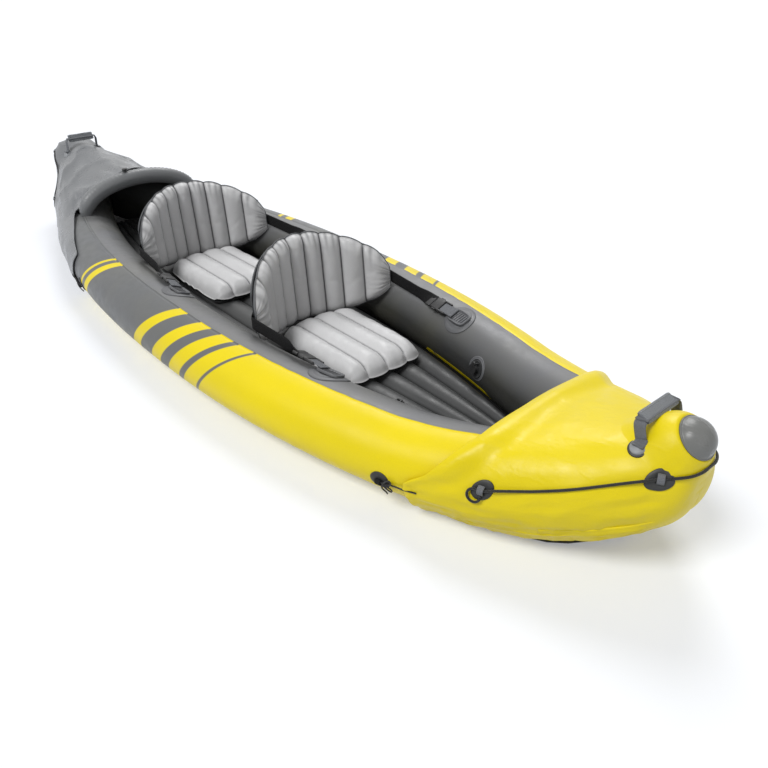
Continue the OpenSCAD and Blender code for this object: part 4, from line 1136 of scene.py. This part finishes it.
def line_patches(end, sign):
    b = Builder()
    for flip in SIDES:
        for back, a in (LOOP_REAR, LOOP_FORE):
            x = sign * (HALF_L - back)
            round_patch(b, hull_map(x, a, LINE_SEAT), LOOP_PATCH_D, flip)
            cord_loop(b, x, a, LINE_SEAT + PATCH_T, LOOP_R, flip)
    dress(b.piece(end + "_line_loops", PATCH_BLACK, TAPE_GREY), "hull", "black_plastic",
          end + "_line_patches")


def settle(path, tree, inside, clear, loose):
    """Ease the loose points of a path and keep them clear of a surface."""
    path = path.copy()
    for _ in range(60):
        eased = path.copy()
        eased[1:-1] = 0.5 * path[1:-1] + 0.25 * (path[:-2] + path[2:])
        path[loose] = eased[loose]
        for k in np.nonzero(loose)[0]:
            spot, n = tree.find_nearest(Vector(path[k]))[:2]
            n = np.array(n) * np.sign(np.dot(n, np.array(spot) - inside))
            if np.dot(path[k] - np.array(spot), n) < clear:
                path[k] = np.array(spot) + n * clear
    return path


def grab_line(end, sign, tree):
    """Line tied in the rear loops, threaded through the fore ones and round the nose."""
    x = sign * (HALF_L - LOOP_REAR[0])
    r = LINE_CURL

    def curl(v0, v1):
        return hull_local(x, LOOP_REAR[1], LINE_SEAT, [v0, v1, LINE_LIFT - LINE_SEAT - v0 * v0 / TUBE_W])
    turns = np.radians(range(270, -1, -30))
    port = [curl(r * (1 - math.cos(g)), sign * (0.014 + r * math.sin(g))) for g in turns]
    port += [curl(0.0, 0.0)]
    port += [skin(sign * (HALF_L - back), a, off) for back, a, off in LINE_ROUTE]
    fore_z = port[-1][2]
    port += [np.array([sign * (HALF_L - back), y, fore_z + up]) for back, y, up in LINE_NOSE]
    path = spline(port + [p * STARBOARD for p in port[::-1]])
    loose = np.abs(path[:, 0]) > HALF_L - LINE_LOOSE
    loose &= np.abs(np.abs(path[:, 0]) - HALF_L + LOOP_FORE[0]) > LOOP_HOLD
    path = settle(path, tree, end_core(sign), LINE_CLEAR, loose)
    path[:, 0] = np.clip(path[:, 0], -HALF_L + 0.002, HALF_L - 0.002)
    b = Builder()
    b.tube(path, LINE_D / 2, 12)
    dress(b.piece(end + "_grab_rope", ROPE_DARK), "hull", "cord", end + "_grab_line")


# Cover ties: route as (forward, angle, lift), and the bow's loops as (forward, up)
TIE_A = -11.0
TIE_BACK = 0.074
TIE_R = 0.002
TIE_BOW_R = 0.0018
TIE_LOOP_R = 0.0078
TIE_PATCH_D = 0.050
TIE_RISE = PATCH_SEAT + PATCH_T + TIE_R + 0.0008
TIE_OVER = COVER_OUT + TIE_R + GAP
TIE_ROUTE = [(-0.012, 0, TIE_RISE), (0.0, 0, TIE_RISE), (0.020, 1, TIE_RISE), (0.042, 2, TIE_RISE),
             (0.062, 3, TIE_OVER), (0.078, 4, TIE_OVER + 0.001), (0.096, 4, TIE_OVER)]
TIE_BOWS = ([(0.014, 0), (0.024, 0.012), (0.034, 0.016), (0.036, 0.006), (0.024, 0.001), (0.014, 0)],
            [(0.014, 0), (0.022, -0.010), (0.032, -0.017), (0.037, -0.009), (0.026, -0.002), (0.014, 0)],
            [(0.014, 0), (0.012, -0.012), (0.018, -0.024), (0.016, -0.034)])


def tie_x(edge):
    return float(edge_station(edge, TIE_A)) - TIE_BACK


def tie_patches(end, sign, edge):
    b = Builder()
    x = sign * tie_x(edge)
    for flip in SIDES:
        round_patch(b, hull_map(x, TIE_A, PATCH_SEAT), TIE_PATCH_D, flip)
        cord_loop(b, x, TIE_A, PATCH_SEAT + PATCH_T, TIE_LOOP_R, flip)
    dress(b.piece(end + "_tie_loops", PATCH_BLACK, TAPE_BLACK), "hull", "black_plastic",
          end + "_tie_patches")


def cover_ties(end, sign, edge):
    """Cords from the hull patches over the flap edge, with a small bow at the loop."""
    b = Builder()
    x = tie_x(edge)
    spot = hull_map(sign * x, TIE_A, TIE_RISE)
    for flip in SIDES:
        line = [skin(sign * (x + d), TIE_A + k, lift) * flip for d, k, lift in TIE_ROUTE]
        b.tube(spline(line, 0.003), TIE_R, 10)
        for k, bow in enumerate(TIE_BOWS):
            loop = [spot([sign * p, q, 0.0026 + 0.0012 * k]) * flip for p, q in bow]
            b.tube(spline(loop, 0.002), TIE_BOW_R, 8)
    dress(b.piece(end + "_tie_cords", ROPE_DARK), "hull", "cord", end + "_cover_ties")


# Seats
def coordinates(mesh):
    flat = np.zeros(len(mesh.vertices) * 3)
    mesh.vertices.foreach_get("co", flat)
    return flat.reshape(-1, 3)


def inflate(piece, held):
    """Swell a closed piece as cloth under pressure, its welds held, by a capped distance."""
    mesh = piece.data
    rest = coordinates(mesh)
    pins = piece.vertex_groups.new(name="welds")
    pins.add([int(k) for k in held], 1.0, "REPLACE")
    cloth = piece.modifiers.new("inflate", "CLOTH")
    for key, value in CLOTH.items():
        setattr(cloth.settings, key, value)
    cloth.settings.vertex_group_mass = pins.name
    cloth.settings.effector_weights.gravity = 0.0
    cloth.collision_settings.use_collision = False
    scene = bpy.context.scene
    for step in range(1, 21):
        scene.frame_set(step)
    swollen = piece.evaluated_get(bpy.context.evaluated_depsgraph_get()).data
    shift = coordinates(swollen) - rest
    size = np.linalg.norm(shift, axis=1, keepdims=True)
    shift *= np.minimum(1.0, SWELL_CAP / np.maximum(size, 1e-9))
    mesh.vertices.foreach_set("co", (rest + shift).ravel())
    piece.modifiers.remove(cloth)
    piece.vertex_groups.remove(pins)
    scene.frame_set(1)
    mesh.update()


def nearest(piece, points):
    """Indices of the piece's vertices that lie on points."""
    wanted = {tuple(p) for p in np.round(points, 5)}
    return [v.index for v in piece.data.vertices if tuple(np.round(v.co[:], 5)) in wanted]


def padded_piece(name, light, dark, weld, held):
    """Pad of a light and a dark sheet, swollen between its welds and once subdivided."""
    b = Builder()
    # The weld field carries painted shade into seat_light.
    b.grid(light, slot=0, weld=weld)
    b.grid(dark, slot=1, weld=weld)
    pad = b.piece(name, SEAT_LIGHT, SEAT_DARK)
    inflate(pad, nearest(pad, np.concatenate([light[held], dark.reshape(-1, 3)])))
    smoother = pad.modifiers.new("smooth", "SUBSURF")
    smoother.levels = 1
    smoother.render_levels = 1
    return pad


def puff(edge, flange, reach):
    """Rise of an inflated sheet from its welded flange inward."""
    return round_up(edge - flange, reach)


def back_bottom(s):
    return BACK_LOW + 0.078 * np.abs(s) ** 2.4


def back_foot(s):
    """Lower edge of the soft pad, rounded up at the wing corners."""
    return BACK_LOW - 0.015 + 0.072 * np.abs(s) ** 3.2 + 0.014 * np.abs(s) ** 14


def back_top(s):
    return BACK_LOW + BACK_H - 0.078 * np.abs(s) ** 2.2 - 0.038 * np.abs(s) ** 14


def back_point(x, s, z, h):
    """Point of the wrapped, raked back: s across from -1 to 1, height z, h forward of its middle."""
    m = 4 * BACK_WRAP * s / BACK_W
    k = np.sqrt(1 + m * m)
    return np.stack([x - BACK_X + BACK_WRAP * s * s - BACK_RAKE * (z - BACK_LOW) + h / k,
                     BACK_W / 2 * s - h * m / k, z + 0 * s], -1)


def back_grid():
    k = np.linspace(0, 1, 45)
    return lattice(steps_with(BACK_CHANNELS, (0.985, 0.994)), mix(k, 0.5 - 0.5 * np.cos(np.pi * k), 0.55))


def back_outline(s, t):
    """Height of the backrest's sheet, drawn in between its channels."""
    weld = 1 - lobe((s + 1) / 2, BACK_CHANNELS)
    notch = 0.007 * weld * (smooth((t - 0.7) / 0.3) - 0.7 * smooth((0.3 - t) / 0.3))
    return mix(back_foot(s), back_top(s), t) - notch


def back_edges(s, t):
    """Distances of a point of the pad to its wing, foot and top edges, and the least of them."""
    tall = back_top(s) - back_foot(s)
    wing_edge, foot_edge, top_edge = (1 - np.abs(s)) * BACK_ARC, t * tall, (1 - t) * tall
    return wing_edge, foot_edge, top_edge, np.minimum(wing_edge, np.minimum(foot_edge, top_edge))


def back_puckers(s, t):
    """1 on the short creases that run in from the pad's top and wing edges."""
    wing_edge, _, top_edge, _ = back_edges(s, t)
    top = weld_line((s + 1) / 2 + 0.004 * np.sin(s * 37), 3 * BACK_CHANNELS, 0.0175, 0.0020)
    top = top * bell(top_edge / (0.029 + 0.012 * np.sin(s * 53)))
    ends = weld_line(t + 0.02 * np.sin(t * 19), 9, 0.020, 0.0026)
    ends = ends * bell(wing_edge / (0.030 + 0.012 * np.sin(t * 41)))
    return np.maximum(top, ends)


def back_bulge(s, t):
    """Swell of the pad from its rim: half-round channels with gathers along the edges."""
    wing_edge, foot_edge, top_edge, edge = back_edges(s, t)
    round_off = puff(foot_edge, 0.003, 0.034) * puff(top_edge, 0.003, 0.034) * puff(wing_edge, 0.003, 0.030)
    channel = 0.26 + 0.74 * round_lobe((s + 1) / 2, BACK_CHANNELS)
    spot = np.stack([s * 26, t * 2.5, 0 * s], -1)
    side_spot = np.stack([t * 11, s * 2.0, 0 * s + 4], -1)
    calm = smooth(edge / 0.010)
    gathers = 0.0042 * crumple(spot, 0.4) * (bell(top_edge / 0.040) + bell(foot_edge / 0.030)) * calm
    gathers += 0.0050 * crumple(side_spot, 1.9) * bell(wing_edge / 0.05) * calm
    gathers -= 0.0050 * back_puckers(s, t) * calm
    return 0.0009 + (BACK_T / 2 - BACK_RIM - 0.0045) * round_off * channel + gathers


def backrest(which, x):
    """Winged backrest: light front sheet wrapped to a rear rim, dark rear sheet and a thin bound edge."""
    body = which + "_back"
    s, t = back_grid()
    z = back_outline(s, t)
    rim = (t <= 0) | (t >= 1) | (np.abs(s) >= 1)
    edge = back_edges(s, t)[3]
    front = back_point(x, s, z, BACK_RIM + np.where(rim, 0.0, back_bulge(s, t)))
    rear = back_point(x, s, z, BACK_RIM - np.where(rim, 0.0, 0.0070 * puff(edge, 0.002, 0.02)))
    # Weld field: painted shade along the channel welds and the pucker creases.
    weld = np.maximum(weld_line((s + 1) / 2, BACK_CHANNELS, 0.052, 0.0016), 0.8 * back_puckers(s, t))
    held = (lobe((s + 1) / 2, BACK_CHANNELS, 1.0) < 0.06) | (edge < 0.008)
    pad = padded_piece(which + "_backrest_pad", front, rear, weld, held)
    dress(pad, body, "seat_pvc", which + "_backrest")
    sz = np.stack([s, z], -1)
    ring = np.concatenate([sz[:, 0], sz[-1, 1:], sz[-2::-1, -1], sz[0, -2::-1]])
    bound = Builder()
    bound.tube(back_point(x, ring[:, 0], ring[:, 1], np.full(len(ring), BACK_RIM)), BINDING_R, 8)
    dress(bound.piece(which + "_backrest_binding", SEAT_DARK), body, "seat_pvc")


def back_panel(which, x):
    """Rear panel with its hinge web and rod."""
    s, t = lattice(np.linspace(-0.93, 0.93, 81), np.linspace(0.04, 0.955, 25))
    z = mix(back_bottom(s), back_top(s), t)
    slack = 0.0006 * crumple(np.stack([s * 6, t * 4, 0 * s], -1), 6.0)
    b = Builder()
    b.shell(back_point(x, s, z, -BACK_NEAR - PANEL_T + slack), back_point(x, s, z, -BACK_NEAR + 0 * s))
    web = np.array([[x - HINGE_BACK, 0, h] for h in np.linspace(HINGE_Z, BACK_LOW + 0.018, 12)])
    b.strip(web, [0, 1, 0], HINGE_WEB_W, PANEL_T, slot=1)
    rod = np.array([[x - HINGE_BACK, y, HINGE_Z] for y in np.linspace(-HINGE_HALF, HINGE_HALF, 40)])
    b.tube(rod, ROD_R, 20, slot=2)
    dress(b.piece(which + "_back_shell", PANEL_GREY, TAPE_BLACK, PLASTIC_BLACK), which + "_back",
          "panel_grey", which + "_back_panel")


def cushion_plan(x, u, v):
    """Plan of the cushion's sheets: tucked in at the front welds, round-cornered and hollow behind."""
    tuck = CUSHION_TUCK * (1 - lobe((u + 1) / 2, CUSHION_CHANNELS)) * smooth((v - 0.8) / 0.2)
    corner = 1 - 0.095 * np.abs(u * v) ** 4
    px = x + CUSHION_AHEAD - CUSHION_L / 2 * (1 - v * corner) - tuck + (0.026 * u * u - 0.008) * unit(-v)
    return px, CUSHION_W / 2 * u * corner


def cushion(which, x):
    """Channelled cushion: light top sheet, dark under sheet and a wavy welded flange."""
    j = np.linspace(-1, 1, 61)
    u, v = lattice(steps_with(CUSHION_CHANNELS, (0.97, 0.985)), mix(j, np.sin(np.pi / 2 * j), 0.45))
    across = (u + 1) / 2
    px, py = cushion_plan(x, u, v)
    edge_u = (1 - np.abs(u)) * CUSHION_W / 2
    edge_v = (1 - np.abs(v)) * CUSHION_L / 2
    edge = np.minimum(edge_u, edge_v)
    wavy = np.sin(v * 17 + 3 * np.sin(v * 5)) * bell((1 - np.abs(u)) / 0.2)
    flange_z = CUSHION_Z + FLANGE_UP + 0.0028 * wavy
    dip = 1 - 0.36 * smooth((1.06 - v) / 0.20) * (1 - round_lobe(across, CUSHION_CHANNELS))
    pleat = 0.0034 * crumple(np.stack([u * 16, v * 3, 0 * u], -1), 2.2) * bell(edge_v / 0.040)
    creases = weld_line(across, 2 * CUSHION_CHANNELS, CHANNEL_W / 2, 0.0040)
    pleat -= 0.0060 * creases * bell((edge_v - 0.020) / 0.018)
    pleat += 0.0034 * crumple(np.stack([v * 14, u * 3, 0 * u], -1), 5.8) * bell(edge_u / 0.035)
    calm = smooth(edge / 0.012)
    top = (CUSHION_H - 0.0115) * puff(edge_u, 0.006, 0.050) * puff(edge_v, 0.006, 0.066) * dip + pleat * calm
    low = 0.0070 * puff(edge_u, 0.006, 0.030) * puff(edge_v, 0.006, 0.030)
    low = low + 0.7 * pleat * calm * bell(edge / 0.03)
    rim = (np.abs(u) >= 1) | (np.abs(v) >= 1)
    upper = np.stack([px, py, flange_z + np.where(rim, 0, top + 0.0008)], -1)
    lower = np.stack([px, py, np.maximum(CUSHION_Z, flange_z - np.where(rim, 0, low + 0.0008))], -1)
    # Weld field: painted shade along the channel welds, fading out toward the front edge.
    weld = weld_line(across, CUSHION_CHANNELS, CHANNEL_W, 0.0014) * smooth((0.92 - v) / 0.1)
    held = (lobe(across, CUSHION_CHANNELS, 1.0) < 0.05) & (v < 0.8) | (edge < 0.006)
    pad = padded_piece(which + "_cushion_pad", upper, lower, weld, held)
    dress(pad, "hull", "seat_pvc", which + "_cushion")


# Straps, buckles and anchors
ANCHOR_AHEAD = 0.035
ANCHOR_A = 118.0
ANCHOR_R = 0.052
ANCHOR_SEAT = 0.0012 + PATCH_T
PAD_L = 0.072
PAD_HALF_W = 0.024
PAD_T = 0.007
PAD_RIDGES = 6
RIDGE_STEP = 0.009
STRAP_NEAR = BACK_NEAR + PANEL_T + GAP
STRAP_Z = 0.205
STRAP_FROM = 0.064
BUCKLE_FROM = 0.068
WING_S = 0.985
SEWN_S = 0.80
TAB_W = 0.034
TAB_L = 0.052
# Size, edge radius and centre of each block of a buckle, along, across and above the strap
BUCKLE_BLOCKS = [((0.034, 0.042, 0.0100), 0.0034, (0.004, 0, 0.0015)),
                 ((0.020, 0.044, 0.0082), 0.0030, (0.032, 0, 0.0010))]
for hand in (-1, 1):
    BUCKLE_BLOCKS += [((0.030, 0.0062, 0.0090), 0.0026, (-0.024, hand * 0.0190, 0.0010)),
                      ((0.016, 0.0050, 0.0074), 0.0020, (0.004, hand * 0.0216, 0.0015))]
BUCKLE_BLOCKS += [((0.0060, 0.042, 0.0046), 0.0018, (-0.037, 0, 0.0016)),
                  ((0.0060, 0.042, 0.0046), 0.0018, (-0.020, 0, 0.0030))]
BUCKLE_BLOCKS += [((0.0020, 0.030, 0.0020), 0.0008, (0.026 + 0.006 * k, 0, 0.0054)) for k in range(3)]
ANCHOR_RINGS = [(0.0, 1.0), (0.50, 1.0), (0.56, 1.5), (0.62, 1.0), (0.74, 1.0), (0.79, 1.4), (0.84, 1.0),
                (0.95, 0.9), (0.99, 0.5), (1.0, 0.05), (1.0, -0.3), (0.5, -0.3), (0.0, -0.3)]
PLATE_PROFILE = [(1.0, 0.0), (1.0, 0.0044), (0.97, 0.0064), (0.90, 0.0066), (0.83, 0.0060), (0.79, 0.0034),
                 (0.0, 0.0034)]


def anchor_back(x):
    """Place on the anchor pad where the webbing tab starts."""
    tab = [0, 0.018 - PAD_L / 2, PAD_T + GAP + WEB_T / 2]
    return hull_local(x + ANCHOR_AHEAD, ANCHOR_A, ANCHOR_SEAT, tab)


def wing(x, s):
    """Point of the strap's middle behind the rear panel."""
    return back_point(x, np.float64(s), np.float64(STRAP_Z), np.float64(-STRAP_NEAR - STRAP_T / 2))


def strap_axes(x):
    """Start, run, side and up directions of a seat strap on the port side."""
    start = anchor_back(x)
    run = direction(wing(x, WING_S) - start)
    down = hull_axes(x + ANCHOR_AHEAD, ANCHOR_A)[1]
    side = direction(down - np.dot(down, run) * run)
    return start, run, side, np.cross(side, run)


def strap(which, x, name, flip):
    """Webbing from the buckle to the wing, sewn along the rear panel."""
    start, run, edge = strap_axes(x)[:3]
    first = start + run * STRAP_FROM
    end = wing(x, WING_S)
    t = np.linspace(0, 1, 41)[:-1, None]
    line = mix(first[None], end[None], t)
    upright = np.array([[BACK_RAKE, 0, -1.0]])
    across = direction(mix(edge[None], upright, smooth((t - 0.02) / 0.40)))
    sewn = np.array([wing(x, s) for s in np.linspace(WING_S, SEWN_S, 17)])
    path = np.concatenate([line, sewn]) * flip
    wide = np.concatenate([across, np.repeat(upright, len(sewn), 0)]) * flip
    b = Builder()
    b.strip(path, wide, STRAP_W, STRAP_T, columns=10)
    made = b.piece(f"{which}_{name}_webbing", TAPE_BLACK)
    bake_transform(made)
    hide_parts(f"{which}_{name}_strap")


def buckles(which, x):
    """Ladder-lock buckles on the strap line."""
    start, run, edge, up = strap_axes(x)
    b = Builder()
    for flip in SIDES:
        place = frame_map((start + run * BUCKLE_FROM) * flip, run * flip, edge * flip, up * flip)
        for size, radius, centre in BUCKLE_BLOCKS:
            b.block(place, size, radius, centre)
    dress(b.piece(which + "_ladder_locks", PLASTIC_BLACK), "hull", "black_plastic", which + "_buckles")


def anchor_discs(which, x):
    """Welded patches with raised rings."""
    b = Builder()
    base = hull_map(x + ANCHOR_AHEAD, ANCHOR_A, PATCH_SEAT)
    for flip in SIDES:
        b.turned([(r * ANCHOR_R, h * PATCH_T) for r, h in ANCHOR_RINGS], flipped(base, flip), 64)
    dress(b.piece(which + "_anchor_discs", PATCH_GREY), "hull", "patch_grey", which + "_anchor_patches")


def anchor_plates(which, x):
    """Moulded pads with a raised rim and ridges."""
    b = Builder()
    spot = x + ANCHOR_AHEAD
    n, down, level = hull_axes(spot, ANCHOR_A)
    g = ring_angles(64)
    oval = np.stack([squarish(np.cos(g), 0.5) * PAD_L / 2, squarish(np.sin(g), 0.5) * PAD_HALF_W], -1)
    rows = np.array([np.column_stack([oval * k, np.full(len(g), h)]) for k, h in PLATE_PROFILE])
    middle = (PAD_RIDGES - 1) / 2
    for flip in SIDES:
        place = frame_map(skin(spot, ANCHOR_A, ANCHOR_SEAT) * flip, level * flip, down * flip, n * flip)
        b.grid(place(rows), wrap=True, u=rows[..., 0], v=rows[..., 1])
        for k in range(PAD_RIDGES):
            size = (0.0036, 0.030 - 0.002 * abs(k - middle), 0.0026)
            b.block(place, size, 0.0011, (RIDGE_STEP * (k - middle), 0, 0.0040))
    dress(b.piece(which + "_anchor_plates", PLASTIC_GREY), "hull", "patch_grey", which + "_anchor_pads")


def anchor_webbing(which, x):
    """Webbing tabs from the pads to the buckles, doubled at the pad."""
    b = Builder()
    start, run, edge, up = strap_axes(x)
    for flip in SIDES:
        line = np.array([(start + run * d) * flip for d in np.linspace(0.0, TAB_L, 14)])
        fold = np.array([(start + run * d + up * 0.0022) * flip for d in np.linspace(0.002, 0.018, 6)])
        b.strip(line, edge * flip, TAB_W, WEB_T)
        b.strip(fold, edge * flip, TAB_W - 0.002, 0.0016)
    dress(b.piece(which + "_anchor_webbing", TAPE_GREY), "hull", "grey_webbing", which + "_anchor_tabs")


# Valves and carried nodes
VALVE_X = 0.850
VALVE_A = 168.0
VALVE_RINGS = [(0.0256, 0.0020), (0.0272, 0.0026), (0.0284, 0.0014), (0.0304, 0.0014), (0.0316, 0.0022),
               (0.0332, 0.0010), (0.0340, 0.0002), (0.0340, -0.001), (0.0256, -0.001), (0.0256, 0.0020)]
CARRIED = {"bottom_sheet": BOTTOM, "front_seat_base": BASE_BLACK, "rear_seat_base": BASE_BLACK,
           "hoop_valve_stem": PLASTIC_DARK, "hoop_valve_plug": PLASTIC_BLACK}
for valve in ("port", "starboard", "floor"):
    CARRIED[valve + "_valve_seat"] = PLASTIC_DARK
    CARRIED[valve + "_valve_cap"] = PLASTIC_BLACK


def valve_rings():
    """Welded rings round the two chamber valves."""
    b = Builder()
    for flip in SIDES:
        b.turned(VALVE_RINGS, flipped(hull_map(VALVE_X, VALVE_A, 0.0001), flip), 64)
    dress(b.piece("valve_patches", PATCH_GREY), "hull", "patch_grey")


def carried_nodes():
    """Finish of the CAD nodes that keep their own shape."""
    for name, material in CARRIED.items():
        NODES[name].data.materials.clear()
        NODES[name].data.materials.append(material)


# Studio
CAMERA_AZ = math.radians(41.172)
CAMERA_EL = math.radians(32.0)
CAMERA_AT = Vector((0.6331, 0.0, 0.0257))
CAMERA_FAR = 2.0754
SENSOR = 36
CAMERA_LENS = 0.94244 * SENSOR
FLOOR_REACH = 30.0
FLOOR_GLOW = 0.28
AMBIENT = 0.17


def aim(made, toward):
    made.rotation_euler = Vector(toward).to_track_quat("Z", "Y").to_euler()


def camera():
    data = bpy.data.cameras.new("photo_camera")
    data.sensor_width = SENSOR
    data.lens = CAMERA_LENS
    data.clip_start = 0.01
    made = add_object("photo_camera", data)
    level = math.cos(CAMERA_EL)
    back = Vector((math.cos(CAMERA_AZ) * level, -math.sin(CAMERA_AZ) * level, math.sin(CAMERA_EL)))
    made.location = CAMERA_AT + back * CAMERA_FAR
    aim(made, back)
    bpy.context.scene.camera = made


def seen_rays(tree):
    """1 for camera, glossy and transmission rays."""
    path = tree.nodes.new("ShaderNodeLightPath")
    total = path.outputs["Is Camera Ray"]
    for key in ("Is Glossy Ray", "Is Transmission Ray"):
        node = tree.nodes.new("ShaderNodeMath")
        node.operation = "MAXIMUM"
        tree.links.new(total, node.inputs[0])
        tree.links.new(path.outputs[key], node.inputs[1])
        total = node.outputs[0]
    return total


def world():
    """White where it is seen, and a low even light on the object."""
    made = bpy.data.worlds.new("studio")
    bpy.context.scene.world = made
    made.use_nodes = True
    tree = made.node_tree
    back = tree.nodes["Background"]
    back.inputs["Color"].default_value = (1, 1, 1, 1)
    node = tree.nodes.new("ShaderNodeMapRange")
    tree.links.new(seen_rays(tree), node.inputs["Value"])
    node.inputs["To Min"].default_value = AMBIENT
    node.inputs["To Max"].default_value = 1.0
    tree.links.new(node.outputs["Result"], back.inputs["Strength"])


def floor():
    """Pale floor that keeps the shadow and glows a little where it is seen."""
    r = FLOOR_REACH
    mesh = bpy.data.meshes.new("studio_floor")
    mesh.from_pydata([(-r, -r, 0), (r, -r, 0), (r, r, 0), (-r, r, 0)], [], [(0, 1, 2, 3)])
    s = Shader("studio_floor", Base_Color=(0.68, 0.70, 0.74, 1), Roughness=0.9, Specular_IOR_Level=0.0)
    plain = s.surface.outputs[0]
    glow = s.node("Emission", Strength=FLOOR_GLOW).outputs[0]
    total = s.node("AddShader", plain, glow).outputs[0]
    pick = s.node("MixShader", seen_rays(s.tree), plain, total).outputs[0]
    s.put(s.tree.nodes["Material Output"].inputs["Surface"], pick)
    mesh.materials.append(s.material)
    made = add_object("studio_floor", mesh)


def lamp(name, toward, strength, spread):
    """Soft distant light from a direction."""
    data = bpy.data.lights.new(name, "SUN")
    data.energy = strength
    data.angle = math.radians(spread)
    aim(add_object(name, data), toward)


camera()
chamber("port_chamber", 1)
chamber("starboard_chamber", -1)
floor_chamber()
bow_top = cover("bow_cover", 1, BOW_EDGE, bow_lift, COVER_YELLOW, "cover_yellow")
stern_top = cover("stern_cover", -1, STERN_EDGE, stern_lift, COVER_GREY, "cover_grey")
stern_hoop()
bow_socket = nose_collar(bow_top)
nose_cap()
trees = {"bow": surface_tree(bow_top, bow_socket), "stern": surface_tree(stern_top)}
for end_name, end_sign, end_edge in (("bow", 1, BOW_EDGE), ("stern", -1, STERN_EDGE)):
    handle(end_name)
    line_patches(end_name, end_sign)
    grab_line(end_name, end_sign, trees[end_name])
    tie_patches(end_name, end_sign, end_edge)
    cover_ties(end_name, end_sign, end_edge)
for seat, seat_x in SEATS.items():
    cushion(seat, seat_x)
    backrest(seat, seat_x)
    back_panel(seat, seat_x)
    strap(seat, seat_x, "port", PORT)
    strap(seat, seat_x, "starboard", STARBOARD)
    for make in (buckles, anchor_discs, anchor_plates, anchor_webbing):
        make(seat, seat_x)
valve_rings()
carried_nodes()
world()
floor()
lamp("key", (-0.10, -0.75, 1.0), 2.05, 24)
lamp("back", (-0.55, 0.55, 0.85), 1.4, 26)
lamp("front", (0.9, -0.2, 0.6), 0.5, 60)
bpy.context.scene.view_settings.view_transform = "Standard"
